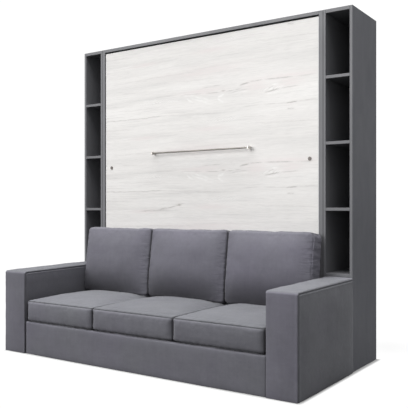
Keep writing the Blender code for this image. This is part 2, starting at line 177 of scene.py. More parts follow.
def fabric_material(name, base, seed=0.0):
    """Brushed microfibre: soft blotches where the nap lies differently, slubs, fine grain."""
    mat, tree, shader = new_material(name)
    plain = coords(tree, location=(seed, seed * 0.7, seed * 1.3))
    blotch = noise_tex(tree, plain, 7.0, 3.0, 0.5, 0.4)
    patch = noise_tex(tree, plain, 22.0, 3.0, 0.6, 0.8)
    upright = noise_tex(tree, coords(tree, scale=(60, 60, 5)), 1.0, 4.0, 0.6)
    level = noise_tex(tree, coords(tree, scale=(6, 6, 70)), 1.0, 4.0, 0.6)
    grain = noise_tex(tree, plain, 900.0, 2.0, 0.7)
    dark = tuple(c * 0.84 for c in base)
    light = tuple(min(1.0, c * 1.17) for c in base)
    cool = (base[0] * 0.97, base[1] * 1.0, base[2] * 1.06)
    colour = ramp(tree, blotch, [(0.30, dark), (0.52, base), (0.72, light)])
    colour = mix(tree, 0.35, colour, ramp(tree, patch, [(0.35, dark), (0.65, light)]))
    colour = mix(tree, 0.22, colour, ramp(tree, upright, [(0.35, dark), (0.68, light)]))
    colour = mix(tree, 0.14, colour, ramp(tree, level, [(0.35, dark), (0.68, light)]))
    colour = mix(tree, 0.25, colour, cool)
    colour = mix(tree, 0.30, colour,
                 ramp(tree, grain, [(0.30, grey(0.72)), (0.70, grey(1.25))]), "MULTIPLY")
    # painted sheen: the grey is turned a little green or a little violet by face, standing in for the nap's sheen, and
    # in random patches of tone
    cast = add(tree, "ShaderNodeAttribute", attribute_name="cast").outputs["Fac"]
    drift = math_node(tree, "SUBTRACT", noise_tex(tree, plain, 3.2, 2.0, 0.5, 0.3), 0.5)
    cast = math_node(tree, "ADD", cast, math_node(tree, "MULTIPLY", drift, 2.2))
    colour = mix(tree, math_node(tree, "MULTIPLY", cast, 1.0, clamp=True), colour,
                 mix(tree, 1.0, colour, (0.988, 1.018, 0.962), "MULTIPLY"))
    colour = mix(tree, math_node(tree, "MULTIPLY", cast, -1.0, clamp=True), colour,
                 mix(tree, 1.0, colour, (1.012, 0.983, 1.040), "MULTIPLY"))
    line, ridge = seam_profile(tree)
    # painted shade where the stored value is positive and painted highlight where it is negative, set per piece below
    painted_shade_and_highlight = add(tree, "ShaderNodeAttribute", attribute_name="painted_shade_and_highlight").outputs["Fac"]
    colour = mix(tree, math_node(tree, "MAXIMUM", painted_shade_and_highlight, 0.0, clamp=True), colour,
                 tuple(c * 0.30 for c in (base[0], base[1], base[2] * 0.98)))
    colour = mix(tree, math_node(tree, "MULTIPLY", painted_shade_and_highlight, -1.0, clamp=True), colour,
                 tuple(min(1.0, c * 2.2) for c in base))
    colour = mix(tree, math_node(tree, "MULTIPLY", line, 0.90), colour, tuple(c * 0.16 for c in base))
    tree.links.new(colour, shader.inputs["Base Color"])
    shader.inputs["Roughness"].default_value = 0.92
    shader.inputs["Specular IOR Level"].default_value = 0.20
    shader.inputs["Sheen Weight"].default_value = 0.30
    shader.inputs["Sheen Roughness"].default_value = 0.42
    shader.inputs["Sheen Tint"].default_value = (0.75, 0.75, 0.80, 1.0)
    weave = math_node(tree, "ADD", math_node(tree, "MULTIPLY", grain, 0.6),
                      math_node(tree, "MULTIPLY", noise_tex(tree, plain, 260.0, 3.0, 0.6), 0.8))
    first = bump(tree, shader, weave, 0.45, 0.0012)
    soft = noise_tex(tree, plain, 34.0, 2.0, 0.5, 0.3)
    second = bump(tree, shader, soft, 0.10, 0.010, first)
    third = bump(tree, shader, ridge, 0.7, 0.0025, second)
    # small level folds where the cover is drawn tight
    drawn = add(tree, "ShaderNodeAttribute", attribute_name="folds").outputs["Fac"]
    folds = noise_tex(tree, coords(tree, scale=(9, 9, 62)), 1.0, 1.0, 0.4, 0.5)
    bump(tree, shader, math_node(tree, "MULTIPLY", folds, drawn), 0.8, 0.010, third)
    return mat


def laminate_material(name, base, rough=0.42):
    """Matt anthracite melamine: pressed pearl texture, faint handling marks."""
    mat, tree, shader = new_material(name)
    plain = coords(tree)
    cloud = noise_tex(tree, plain, 2.2, 3.0, 0.5)
    pearl = noise_tex(tree, plain, 1500.0, 2.0, 0.6)
    speck = noise_tex(tree, plain, 420.0, 2.0, 0.7)
    dark = tuple(c * 0.90 for c in base)
    light = tuple(c * 1.10 for c in base)
    colour = ramp(tree, cloud, [(0.30, dark), (0.70, light)])
    colour = mix(tree, 0.35, colour, ramp(tree, speck, [(0.35, dark), (0.65, light)]))
    # shadow in the joint between the bed case and each bookcase, and under the case top
    x, y, z = separate(tree, plain)
    off = math_node(tree, "DIVIDE", math_node(tree, "SUBTRACT", math_node(tree, "ABSOLUTE", x), 0.90315), 0.0021)
    joint = math_node(tree, "POWER", 2.718, math_node(tree, "MULTIPLY", math_node(tree, "MULTIPLY", off, off), -1.0))
    colour = mix(tree, math_node(tree, "MULTIPLY", joint, 0.92), colour, tuple(c * 0.18 for c in base))
    under = add(tree, "ShaderNodeMapRange", {"From Min": 0.1665, "From Max": 0.250, "To Min": 0.85, "To Max": 0.0})
    tree.links.new(y, under.inputs["Value"])
    inner = math_node(tree, "MULTIPLY", math_node(tree, "LESS_THAN", math_node(tree, "ABSOLUTE", x), 0.8762),
                      math_node(tree, "MULTIPLY", math_node(tree, "GREATER_THAN", y, 0.1665),
                                math_node(tree, "LESS_THAN", z, 2.1485)))
    colour = mix(tree, math_node(tree, "MULTIPLY", inner, under.outputs["Result"]), colour,
                 tuple(c * 0.25 for c in base))
    # the undersides of the bookcase boards lie in shade
    facing = add(tree, "ShaderNodeSeparateXYZ")
    tree.links.new(add(tree, "ShaderNodeTexCoord").outputs["Normal"], facing.inputs["Vector"])
    below = math_node(tree, "MULTIPLY", math_node(tree, "LESS_THAN", facing.outputs["Z"], -0.5),
                      math_node(tree, "MULTIPLY", math_node(tree, "GREATER_THAN", math_node(tree, "ABSOLUTE", x), 0.905),
                                math_node(tree, "GREATER_THAN", y, 0.1665)))
    colour = mix(tree, math_node(tree, "MULTIPLY", below, 0.62), colour, tuple(c * 0.18 for c in base))
    # painted shade: the outer side faces of the cabinet are made darker and bluer, and darker still along their rear
    # edge
    outer = math_node(tree, "GREATER_THAN", math_node(tree, "ABSOLUTE", x), 1.0893)
    colour = mix(tree, outer, colour, mix(tree, 1.0, colour, (0.850, 0.865, 0.925), "MULTIPLY"))
    rear = math_node(tree, "MULTIPLY", outer, math_node(tree, "GREATER_THAN", y, 0.5690))
    colour = mix(tree, math_node(tree, "MULTIPLY", rear, 0.6), colour, tuple(c * 0.30 for c in base))
    tree.links.new(colour, shader.inputs["Base Color"])
    rub = noise_tex(tree, coords(tree, scale=(3, 3, 1.2)), 3.0, 4.0, 0.65, 0.6)
    roughness = add(tree, "ShaderNodeMapRange",
                    {"From Min": 0.3, "From Max": 0.7, "To Min": rough - 0.05,
                     "To Max": rough + 0.10})
    tree.links.new(rub, roughness.inputs["Value"])
    tree.links.new(roughness.outputs["Result"], shader.inputs["Roughness"])
    shader.inputs["Specular IOR Level"].default_value = 0.38
    bump(tree, shader, pearl, 0.12, 0.0004)
    return mat


def door_material():
    """White-washed wood decor: long level grain, a few knots with a dark shake running out
    of them, feathered figure under the knots. The print repeats up the door."""
    mat, tree, shader = new_material("white_wood_laminate")
    where = add(tree, "ShaderNodeTexCoord")
    x, y, z = separate(tree, where.outputs["Object"])
    repeat = 0.531
    print_z = math_node(tree, "MODULO", math_node(tree, "SUBTRACT", z, 0.4), repeat)

    def times(a, b):
        return math_node(tree, "MULTIPLY", a, b)

    def plus(a, b):
        return math_node(tree, "ADD", a, b)

    def minus(a, b):
        return math_node(tree, "SUBTRACT", a, b)

    def bell(value, centre, spread):
        off = math_node(tree, "DIVIDE", minus(value, centre), spread)
        return math_node(tree, "POWER", 2.718, times(times(off, off), -1.0))

    def stretched(vector, scale, location=(0, 0, 0), rotation=(0, 0, 0)):
        mapping = add(tree, "ShaderNodeMapping")
        mapping.inputs["Scale"].default_value = scale
        mapping.inputs["Location"].default_value = location
        mapping.inputs["Rotation"].default_value = rotation
        tree.links.new(vector, mapping.inputs["Vector"])
        return mapping.outputs["Vector"]

    def joined(a, c):
        node = add(tree, "ShaderNodeCombineXYZ")
        tree.links.new(a, node.inputs["X"])
        tree.links.new(c, node.inputs["Z"])
        return node.outputs["Vector"]

    # the grain wanders a little and parts round the knots
    flat_print = joined(x, print_z)
    wander = minus(noise_tex(tree, stretched(flat_print, (2.2, 1, 5.0), (4.0, 0, 9.0)), 1.0, 2.0, 0.5), 0.5)
    tremble = minus(noise_tex(tree, stretched(flat_print, (11.0, 1, 16.0), (1.0, 0, 2.0)), 1.0, 3.0, 0.6), 0.5)
    bent = plus(print_z, plus(times(wander, 0.030), times(tremble, 0.013)))
    knots = ((0.186, 0.291, 0.050, 0.015), (0.545, 0.268, 0.060, 0.015))
    for cx, cz, rx, rz in knots:
        off = math_node(tree, "DIVIDE", minus(print_z, cz), rz)
        bent = minus(bent, times(times(bell(x, cx, rx), bell(print_z, cz, rz * 1.3)), times(off, 0.012)))
    grain_at = joined(x, bent)
    tilt = (0, radians(-1.2), 0)
    broad = noise_tex(tree, stretched(grain_at, (0.9, 1, 10.0), rotation=tilt), 1.0, 4.0, 0.5, 0.3)
    streak = noise_tex(tree, stretched(grain_at, (1.3, 1, 52.0), (3.1, 0, 0), tilt), 1.0, 5.0, 0.55, 0.3)
    narrow = noise_tex(tree, stretched(grain_at, (2.2, 1, 150.0), (0.4, 0, 6.3), tilt), 1.0, 4.0, 0.6, 0.2)
    fine = noise_tex(tree, stretched(grain_at, (15.0, 1, 330.0), (0, 0, 1.7), tilt), 1.0, 3.0, 0.6)

    # the figure is strong in some boards of the print and nearly blank in others
    board = add(tree, "ShaderNodeMapRange", {"From Min": 0.42, "From Max": 0.60, "To Min": 0.16, "To Max": 0.72},
                interpolation_type="SMOOTHSTEP")
    tree.links.new(noise_tex(tree, stretched(grain_at, (1.7, 1, 8.5), (5.2, 0, 1.1)), 1.0, 3.0, 0.55, 0.4),
                   board.inputs["Value"])
    board = board.outputs["Result"]
    base = (0.803, 0.789, 0.776)
    colour = ramp(tree, broad, [(0.32, (0.742, 0.730, 0.718)), (0.50, base), (0.66, (0.850, 0.838, 0.826))])
    colour = mix(tree, board, colour,
                 ramp(tree, streak, [(0.30, grey(0.86)), (0.44, grey(0.975)), (0.56, grey(1.0)), (0.70, grey(1.045))]), "MULTIPLY")
    colour = mix(tree, plus(board, 0.12), colour,
                 ramp(tree, narrow, [(0.30, grey(0.88)), (0.50, grey(1.0)), (0.72, grey(1.035))]), "MULTIPLY")
    colour = mix(tree, 0.70, colour,
                 ramp(tree, fine, [(0.34, grey(0.90)), (0.50, grey(1.0)), (0.66, grey(1.045))]), "MULTIPLY")

    ragged = times(minus(noise_tex(tree, stretched(flat_print, (36.0, 1, 9.0), (7.0, 0, 4.0)), 1.0, 3.0, 0.65), 0.5),
                   0.0075)

    # drawn figure: level streaks and shakes, each between two ends, with soft ends
    def stroke(height, x0, z0, x1, z1, width, bow=0.0):
        along = add(tree, "ShaderNodeMapRange", {"From Min": x0, "From Max": x1})
        tree.links.new(x, along.inputs["Value"])
        t = along.outputs["Result"]
        line = plus(plus(times(t, z1 - z0), z0), ragged)
        if bow:
            line = plus(line, times(times(t, minus(1.0, t)), 4 * bow))
        body = bell(minus(height, line), 0.0, width)
        soft = 0.30 * (x1 - x0)
        ends = []
        for edge, low, high in ((x0, 0.0, 1.0), (x1, 1.0, 0.0)):
            fade = add(tree, "ShaderNodeMapRange",
                       {"From Min": edge if low == 0.0 else edge - soft,
                        "From Max": edge + soft if low == 0.0 else edge,
                        "To Min": low, "To Max": high}, interpolation_type="SMOOTHSTEP")
            tree.links.new(x, fade.inputs["Value"])
            ends.append(fade.outputs["Result"])
        return times(body, times(ends[0], ends[1]))

    real_z = plus(z, plus(times(wander, 0.030), times(tremble, 0.013)))
    figure = [
        # height, x0, z0, x1, z1, width, bow, strength
        (print_z, 0.000, 0.328, 0.190, 0.336, 0.0034, 0.0, 0.50),
        (print_z, 0.300, 0.314, 0.395, 0.331, 0.0042, 0.0, 0.95),
        (print_z, 0.372, 0.330, 0.495, 0.3345, 0.0036, 0.0, 0.65),
        (print_z, 0.480, 0.333, 0.720, 0.328, 0.0042, 0.001, 0.70),
        (print_z, 0.700, 0.328, 0.870, 0.330, 0.0045, 0.0, 0.45),
        (print_z, 0.030, 0.2895, 0.165, 0.285, 0.0034, 0.0, 0.60),
        (print_z, 0.190, 0.284, 0.330, 0.293, 0.0032, 0.0, 0.60),
        (print_z, 0.200, 0.268, 0.385, 0.286, 0.0032, 0.002, 0.50),
        (print_z, 0.485, 0.248, 0.620, 0.265, 0.0040, 0.001, 0.95),
        (print_z, 0.520, 0.273, 0.565, 0.287, 0.0034, 0.0, 0.75),
        (print_z, 0.600, 0.266, 0.760, 0.272, 0.0036, 0.0, 0.45),
        (print_z, -0.190, 0.295, 0.040, 0.291, 0.0034, 0.0, 0.45),
        (print_z, 0.300, 0.169, 0.490, 0.177, 0.0034, 0.0, 0.35),
        (print_z, 0.470, 0.1745, 0.680, 0.169, 0.0034, 0.0, 0.45),
        (print_z, 0.720, 0.172, 0.870, 0.178, 0.0036, 0.0, 0.45),
        (bent, -1.050, 0.158, -0.180, 0.160, 0.0042, 0.002, 0.70),
        (bent, -0.330, 0.157, 0.240, 0.146, 0.0035, 0.0, 0.30),
        (print_z, 0.635, 0.167, 0.740, 0.174, 0.0038, 0.0, 0.95),
        (print_z, 0.650, 0.1315, 0.716, 0.130, 0.0038, 0.0, 0.90),
        (bent, -0.860, 0.232, -0.300, 0.226, 0.0035, -0.002, 0.28),
        (bent, -0.980, 0.430, 0.100, 0.446, 0.0060, 0.004, 0.22),
        (bent, 0.250, 0.060, 0.980, 0.048, 0.0050, -0.003, 0.25),
        (bent, -0.420, 0.300, -0.180, 0.304, 0.0040, 0.0, 0.28),
        (bent, 0.290, 0.105, 0.560, 0.098, 0.0040, 0.0, 0.22),
        (bent, -0.760, 0.362, -0.430, 0.352, 0.0045, 0.0, 0.20),
        (bent, -0.950, 0.085, -0.580, 0.093, 0.0045, 0.0, 0.24),
        (bent, -0.220, 0.392, 0.160, 0.383, 0.0045, 0.0, 0.18),
        (real_z, -0.560, 0.950, -0.250, 0.962, 0.0045, -0.002, 0.80),
        (real_z, -0.400, 0.958, -0.160, 0.995, 0.0040, -0.003, 0.75),
        (real_z, -0.240, 0.992, -0.120, 1.006, 0.0030, 0.0, 0.45),
        (real_z, -0.700, 1.062, 0.250, 1.082, 0.0050, 0.0, 0.25),
    ]
    dark = None
    for item in figure:
        part = times(stroke(*item[:7]), item[7])
        dark = part if dark is None else math_node(tree, "MAXIMUM", dark, part)
    broken = ramp(tree, noise_tex(tree, stretched(grain_at, (19.0, 1, 150.0), (2.0, 0, 3.0)), 1.0, 4.0, 0.65, 0.6),
                  [(0.38, grey(0.15)), (0.56, grey(1.0))])
    dark = times(dark, broken)
    pale = None
    for item in (
        (print_z, 0.130, 0.249, 0.194, 0.271, 0.0075, 0.0, 1.0),
        (print_z, 0.130, 0.2495, 0.192, 0.209, 0.0075, 0.0, 1.0),
        (print_z, -0.095, 0.271, 0.078, 0.219, 0.0065, 0.0, 0.95),
        (print_z, -0.125, 0.269, -0.060, 0.234, 0.0065, 0.0, 0.85),
        (print_z, -0.160, 0.293, -0.035, 0.280, 0.0060, 0.0, 0.75),
        (print_z, -0.060, 0.277, 0.025, 0.252, 0.0060, 0.0, 0.75),
        (print_z, -0.015, 0.271, 0.075, 0.240, 0.0062, 0.0, 0.80),
        (print_z, 0.483, 0.264, 0.558, 0.283, 0.0046, 0.0, 0.95),
        (print_z, 0.498, 0.238, 0.612, 0.249, 0.0042, 0.0, 0.85),
        (print_z, 0.543, 0.294, 0.602, 0.298, 0.0046, 0.0, 0.85),
        (print_z, 0.570, 0.274, 0.645, 0.281, 0.0040, 0.0, 0.65),
        (print_z, 0.250, 0.270, 0.380, 0.2745, 0.0044, 0.0, 0.60),
        (bent, -0.580, 0.286, -0.340, 0.279, 0.0044, 0.0, 0.50),
        (bent, -0.310, 0.262, -0.170, 0.255, 0.0044, 0.0, 0.55),
        (bent, -0.640, 0.262, -0.420, 0.270, 0.0044, 0.0, 0.45),
        (bent, -0.110, 0.146, 0.070, 0.132, 0.0044, 0.0, 0.60),
        (bent, 0.040, 0.076, 0.180, 0.068, 0.0050, 0.0, 0.50),
        (bent, -0.820, 0.020, -0.560, 0.028, 0.0050, 0.0, 0.45),
    ):
        part = times(stroke(*item[:7]), item[7])
        pale = part if pale is None else math_node(tree, "MAXIMUM", pale, part)
    worn = ramp(tree, noise_tex(tree, stretched(flat_print, (26.0, 1, 60.0), (3.0, 0, 5.0)), 1.0, 3.0, 0.6),
                [(0.38, grey(0.30)), (0.60, grey(1.0))])
    colour = mix(tree, times(times(pale, worn), 0.78), colour, (0.965, 0.958, 0.950))
    # heart of each knot
    def heart(height, cx, cz, rx, rz):
        return times(bell(x, cx, rx), bell(height, cz, rz))

    heart_mark = math_node(tree, "MAXIMUM", heart(print_z, 0.182, 0.2925, 0.014, 0.0070),
                           heart(real_z, -0.183, 0.993, 0.016, 0.0075))
    # pale feathered figure beside the knots
    feather = None
    for cx, cz, rx, rz, lean in ((-0.400, 0.262, 0.160, 0.026, 1.0), (0.150, 0.100, 0.120, 0.020, 1.0),
                                 (0.560, 0.262, 0.070, 0.018, -1.0)):
        rise = math_node(tree, "ABSOLUTE", minus(bent, cz))
        phase = plus(times(x, 250.0 * lean), times(rise, 560.0))
        wave = math_node(tree, "SINE", plus(phase, times(tremble, 16.0)))
        spot = times(times(bell(x, cx, rx), bell(print_z, cz, rz)), wave)
        feather = spot if feather is None else plus(feather, spot)
    feather = times(feather, ramp(tree, noise_tex(tree, stretched(grain_at, (14.0, 1, 90.0), (0, 0, 8.0)), 1.0, 3.0, 0.6),
                                  [(0.40, grey(0.35)), (0.56, grey(1.0))]))
    colour = mix(tree, math_node(tree, "MULTIPLY", feather, 0.7, clamp=True), colour, (0.965, 0.958, 0.950))
    colour = mix(tree, math_node(tree, "MULTIPLY", feather, -0.42, clamp=True), colour, (0.600, 0.575, 0.565))
    # a rosy cast along the figure
    rosy = None
    for cx, cz, rx, rz in ((0.430, 0.300, 0.085, 0.048), (0.680, 0.300, 0.090, 0.034), (0.010, 0.305, 0.170, 0.022),
                           (0.080, 0.045, 0.140, 0.020), (-0.500, 0.015, 0.120, 0.016),
                           (0.020, 0.440, 0.330, 0.040), (0.640, 0.345, 0.230, 0.022)):
        spot = times(bell(x, cx, rx), bell(print_z, cz, rz))
        rosy = spot if rosy is None else math_node(tree, "MAXIMUM", rosy, spot)
    rosy = times(rosy, ramp(tree, noise_tex(tree, stretched(grain_at, (3.0, 1, 46.0), (9.0, 0, 2.0)), 1.0, 3.0, 0.6),
                            [(0.36, grey(0.35)), (0.60, grey(1.0))]))
    colour = mix(tree, times(rosy, 0.72), colour, (0.790, 0.732, 0.728))
    colour = mix(tree, times(dark, 0.85), colour, (0.380, 0.355, 0.345))
    colour = mix(tree, times(times(heart_mark, broken), 0.62), colour, (0.300, 0.265, 0.245))
    # painted light and shade: the door is made a little lighter around its middle and darker towards its top
    level = add(tree, "ShaderNodeMapRange", {"From Min": 0.75, "From Max": 2.10})
    tree.links.new(z, level.inputs["Value"])
    colour = mix(tree, 1.0, colour,
                 ramp(tree, level.outputs["Result"],
                      [(0.0, grey(1.02)), (0.30, grey(1.0)), (0.42, grey(1.035)), (0.70, grey(1.02)), (1.0, grey(0.935))]),
                 "MULTIPLY")

    # painted light: the door is made up to a tenth lighter towards its right-hand side
    across = add(tree, "ShaderNodeMapRange", {"From Min": 0.0, "From Max": 0.85, "To Min": 0.0, "To Max": 1.0},
                 interpolation_type="SMOOTHSTEP")
    tree.links.new(x, across.inputs["Value"])
    colour = mix(tree, across.outputs["Result"], colour,
                 mix(tree, 1.0, colour, grey(1.10), "MULTIPLY"))

    # light edge band round the panel
    side = math_node(tree, "GREATER_THAN", math_node(tree, "ABSOLUTE", x), 0.8675)
    over = math_node(tree, "GREATER_THAN", z, 2.1345)
    band = math_node(tree, "MAXIMUM", side, over)
    colour = mix(tree, times(band, 0.85), colour, (0.90, 0.90, 0.905))
    tree.links.new(colour, shader.inputs["Base Color"])
    rough = add(tree, "ShaderNodeMapRange", {"From Min": 0.3, "From Max": 0.7, "To Min": 0.42, "To Max": 0.55})
    tree.links.new(streak, rough.inputs["Value"])
    tree.links.new(rough.outputs["Result"], shader.inputs["Roughness"])
    shader.inputs["Specular IOR Level"].default_value = 0.35
    bump(tree, shader, plus(times(fine, 0.8), times(narrow, 0.5)), 0.14, 0.0010)
    return mat


def timber_material(name, base, along="Z"):
    mat, tree, shader = new_material(name)
    scale = {"X": (1.2, 30, 30), "Y": (30, 1.2, 30), "Z": (30, 30, 1.2)}[along]
    fine_scale = tuple(s * 8 if s > 2 else s * 3 for s in scale)
    broad = noise_tex(tree, coords(tree, scale=scale), 1.0, 5.0, 0.6, 1.2)
    fine = noise_tex(tree, coords(tree, scale=fine_scale), 1.0, 3.0, 0.6)
    dark = tuple(c * 0.62 for c in base)
    light = tuple(min(1.0, c * 1.25) for c in base)
    colour = ramp(tree, broad, [(0.30, dark), (0.50, base), (0.72, light)])
    colour = mix(tree, 0.35, colour, ramp(tree, fine, [(0.35, dark), (0.65, light)]))
    tree.links.new(colour, shader.inputs["Base Color"])
    shader.inputs["Roughness"].default_value = 0.58
    shader.inputs["Specular IOR Level"].default_value = 0.30
    bump(tree, shader, math_node(tree, "ADD", broad, fine), 0.18, 0.0008)
    return mat


def chipboard_material(name, base):
    mat, tree, shader = new_material(name)
    cells = add(tree, "ShaderNodeTexVoronoi", {"Scale": 210.0, "Randomness": 1.0})
    tree.links.new(coords(tree, scale=(1, 1, 2.0)), cells.inputs["Vector"])
    flakes = noise_tex(tree, coords(tree), 140.0, 4.0, 0.7, 0.5)
    dark = tuple(c * 0.66 for c in base)
    light = tuple(min(1.0, c * 1.35) for c in base)
    colour = ramp(tree, flakes, [(0.32, dark), (0.68, light)])
    spread = add(tree, "ShaderNodeSeparateColor")
    tree.links.new(cells.outputs["Color"], spread.inputs["Color"])
    colour = mix(tree, 0.5, colour, ramp(tree, spread.outputs["Red"], [(0.0, dark), (1.0, light)]))
    # the cover of the front board is pulled over the deck's front edge and stapled down; it is painted at a third of
    # the fabric's tone there, painted shade in the gap under the seats
    x, y, z = separate(tree, coords(tree))
    lap = add(tree, "ShaderNodeMapRange", {"From Min": -0.478, "From Max": -0.484, "To Min": 0.0, "To Max": 1.0})
    tree.links.new(math_node(tree, "ADD", y, math_node(tree, "MULTIPLY", flakes, 0.004)), lap.inputs["Value"])
    colour = mix(tree, lap.outputs["Result"], colour, tuple(c * 0.30 for c in FABRIC_BASE))
    tree.links.new(colour, shader.inputs["Base Color"])
    shader.inputs["Roughness"].default_value = 0.78
    shader.inputs["Specular IOR Level"].default_value = 0.25
    bump(tree, shader, flakes, 0.30, 0.0006)
    return mat


def steel_material(name, base, rough, metal=1.0, brush="X", strength=0.10):
    """Brushed or plated steel, scratched along one axis."""
    mat, tree, shader = new_material(name)
    scale = {"X": (8, 900, 900), "Y": (900, 8, 900), "Z": (900, 900, 8)}[brush]
    lines = noise_tex(tree, coords(tree, scale=scale), 1.0, 3.0, 0.6)
    cloud = noise_tex(tree, coords(tree), 14.0, 4.0, 0.6, 0.5)
    dark = tuple(c * 0.78 for c in base)
    light = tuple(min(1.0, c * 1.16) for c in base)
    colour = ramp(tree, cloud, [(0.32, dark), (0.68, light)])
    colour = mix(tree, 0.4, colour, ramp(tree, lines, [(0.35, dark), (0.65, light)]))
    tree.links.new(colour, shader.inputs["Base Color"])
    shader.inputs["Metallic"].default_value = metal
    spread = add(tree, "ShaderNodeMapRange",
                 {"From Min": 0.3, "From Max": 0.7, "To Min": max(0.05, rough - 0.08), "To Max": rough + 0.10})
    tree.links.new(lines, spread.inputs["Value"])
    tree.links.new(spread.outputs["Result"], shader.inputs["Roughness"])
    bump(tree, shader, lines, strength, 0.0003)
    return mat


def powder_material(name, base):
    """Black powder coat: fine orange peel and a little dust."""
    mat, tree, shader = new_material(name)
    peel = noise_tex(tree, coords(tree), 650.0, 2.0, 0.5)
    dust = noise_tex(tree, coords(tree), 11.0, 5.0, 0.65, 0.6)
    light = tuple(c * 1.5 for c in base)
    colour = ramp(tree, dust, [(0.40, base), (0.75, light)])
    tree.links.new(colour, shader.inputs["Base Color"])
    shader.inputs["Metallic"].default_value = 0.0
    spread = add(tree, "ShaderNodeMapRange", {"From Min": 0.3, "From Max": 0.7, "To Min": 0.34, "To Max": 0.52})
    tree.links.new(dust, spread.inputs["Value"])
    tree.links.new(spread.outputs["Result"], shader.inputs["Roughness"])
    bump(tree, shader, peel, 0.25, 0.0003)
    return mat


def ticking_material(name, base):
    """Knitted mattress ticking."""
    mat, tree, shader = new_material(name)
    plain = coords(tree)
    knit = add(tree, "ShaderNodeTexVoronoi", {"Scale": 240.0, "Randomness": 0.35})
    tree.links.new(plain, knit.inputs["Vector"])
    cloud = noise_tex(tree, plain, 9.0, 3.0, 0.5)
    dark = tuple(c * 0.88 for c in base)
    light = tuple(min(1.0, c * 1.06) for c in base)
    colour = ramp(tree, cloud, [(0.3, dark), (0.7, light)])
    colour = mix(tree, 0.5, colour,
                 ramp(tree, knit.outputs["Distance"], [(0.0, grey(1.04)), (0.75, grey(0.86))]), "MULTIPLY")
    line, ridge = seam_profile(tree, 0.0035)
    colour = mix(tree, math_node(tree, "MULTIPLY", line, 0.55), colour,
                 tuple(c * 0.45 for c in base))
    tree.links.new(colour, shader.inputs["Base Color"])
    shader.inputs["Roughness"].default_value = 0.95
    shader.inputs["Specular IOR Level"].default_value = 0.15
    shader.inputs["Sheen Weight"].default_value = 0.15
    shader.inputs["Sheen Roughness"].default_value = 0.5
    first = bump(tree, shader, knit.outputs["Distance"], 0.25, 0.0015)
    bump(tree, shader, ridge, 0.6, 0.003, first)
    return mat


FABRIC_BASE = (0.162, 0.160, 0.183)
FABRIC = fabric_material("sofa_microfibre", FABRIC_BASE)
FABRIC_SIDE = fabric_material("sofa_microfibre_side", tuple(c * 0.97 for c in FABRIC_BASE), 3.7)
LAMINATE = laminate_material("anthracite_laminate", (0.185, 0.187, 0.199))
DOOR = door_material()
TIMBER = timber_material("spruce_and_beech", (0.50, 0.36, 0.21), "X")
TIMBER_X = TIMBER
DECK = chipboard_material("raw_chipboard", (0.36, 0.29, 0.21))
POWDER = powder_material("black_powder_coat", (0.030, 0.031, 0.035))
HANDLE = steel_material("satin_steel", (0.235, 0.222, 0.205), 0.36)
HANDLE_POST = steel_material("satin_steel_post", (0.66, 0.64, 0.61), 0.40)
CAP = steel_material("dull_steel_cap", (0.22, 0.20, 0.19), 0.55)
CHROME = steel_material("ground_rod", (0.62, 0.63, 0.65), 0.14, brush="Z", strength=0.03)
ZINC = steel_material("zinc_plate", (0.58, 0.57, 0.54), 0.38, brush="Z", strength=0.08)
TICKING = ticking_material("mattress_ticking", (0.430, 0.425, 0.410))


def paint(node_name, mat):
    obj = nodes[node_name]
    obj.data.materials.clear()
    obj.data.materials.append(mat)


# ================================================================== soft shapes
def spread(length, step, rows=()):
    """Positions along one axis of a box: extra rows near both ends, even steps between."""
    rows = [r for r in rows if r < length / 2 - step * 0.6]
    inner = length - 2 * (rows[-1] if rows else 0.0)
    count = max(2, int(round(inner / step)))
    start = -length / 2 + (rows[-1] if rows else 0.0)
    middle = [start + inner * i / count for i in range(count + 1)]
    low = [-length / 2] + [-length / 2 + r for r in rows[:-1]] if rows else []
    high = [length / 2 - r for r in reversed(rows[:-1])] + [length / 2] if rows else []
    return np.array(low + middle + high)


def lattice_box(size, step, rows=()):
    """The surface of a box as a grid of quads, centred on the origin. Returns points,
    faces and, for each point, which of the box's six faces it lies on."""
    axes = [spread(s, step, rows) for s in size]
    counts = [len(axis) - 1 for axis in axes]
    index, points, on = {}, [], []

    def vertex(i, j, k):
        key = (i, j, k)
        if key not in index:
            index[key] = len(points)
            points.append((axes[0][i], axes[1][j], axes[2][k]))
            on.append(tuple((-1 if v == 0 else (1 if v == n else 0))
                            for v, n in zip(key, counts)))
        return index[key]

    faces = []
    nx, ny, nz = counts
    for i in range(nx):
        for j in range(ny):
            faces.append([vertex(i, j, 0), vertex(i, j + 1, 0), vertex(i + 1, j + 1, 0), vertex(i + 1, j, 0)])
            faces.append([vertex(i, j, nz), vertex(i + 1, j, nz), vertex(i + 1, j + 1, nz), vertex(i, j + 1, nz)])
    for i in range(nx):
        for k in range(nz):
            faces.append([vertex(i, 0, k), vertex(i + 1, 0, k), vertex(i + 1, 0, k + 1), vertex(i, 0, k + 1)])
            faces.append([vertex(i, ny, k), vertex(i, ny, k + 1), vertex(i + 1, ny, k + 1), vertex(i + 1, ny, k)])
    for j in range(ny):
        for k in range(nz):
            faces.append([vertex(0, j, k), vertex(0, j, k + 1), vertex(0, j + 1, k + 1), vertex(0, j + 1, k)])
            faces.append([vertex(nx, j, k), vertex(nx, j + 1, k), vertex(nx, j + 1, k + 1), vertex(nx, j, k + 1)])
    return np.array(points), faces, np.array(on)


def round_plan(points, half_a, half_b, a, b, radius):
    """Rounds the four corners of a box seen along the remaining axis."""
    pa, pb = points[:, a], points[:, b]
    ca = np.clip(pa, -(half_a - radius), half_a - radius)
    cb = np.clip(pb, -(half_b - radius), half_b - radius)
    da, db = pa - ca, pb - cb
    far = np.hypot(da, db)
    big = np.maximum(np.abs(da), np.abs(db))
    scale = np.where(far > 1e-9, big / np.maximum(far, 1e-9), 1.0)
    out = points.copy()
    out[:, a] = ca + da * scale
    out[:, b] = cb + db * scale
    return out


def round_edges(points, half, radius):
    """Rounds all edges of a box."""
    core = np.clip(points, -(half - radius), half - radius)
    off = points - core
    far = np.linalg.norm(off, axis=1)
    big = np.abs(off).max(axis=1)
    scale = np.where(far > 1e-9, big / np.maximum(far, 1e-9), 1.0)
    return core + off * scale[:, None]


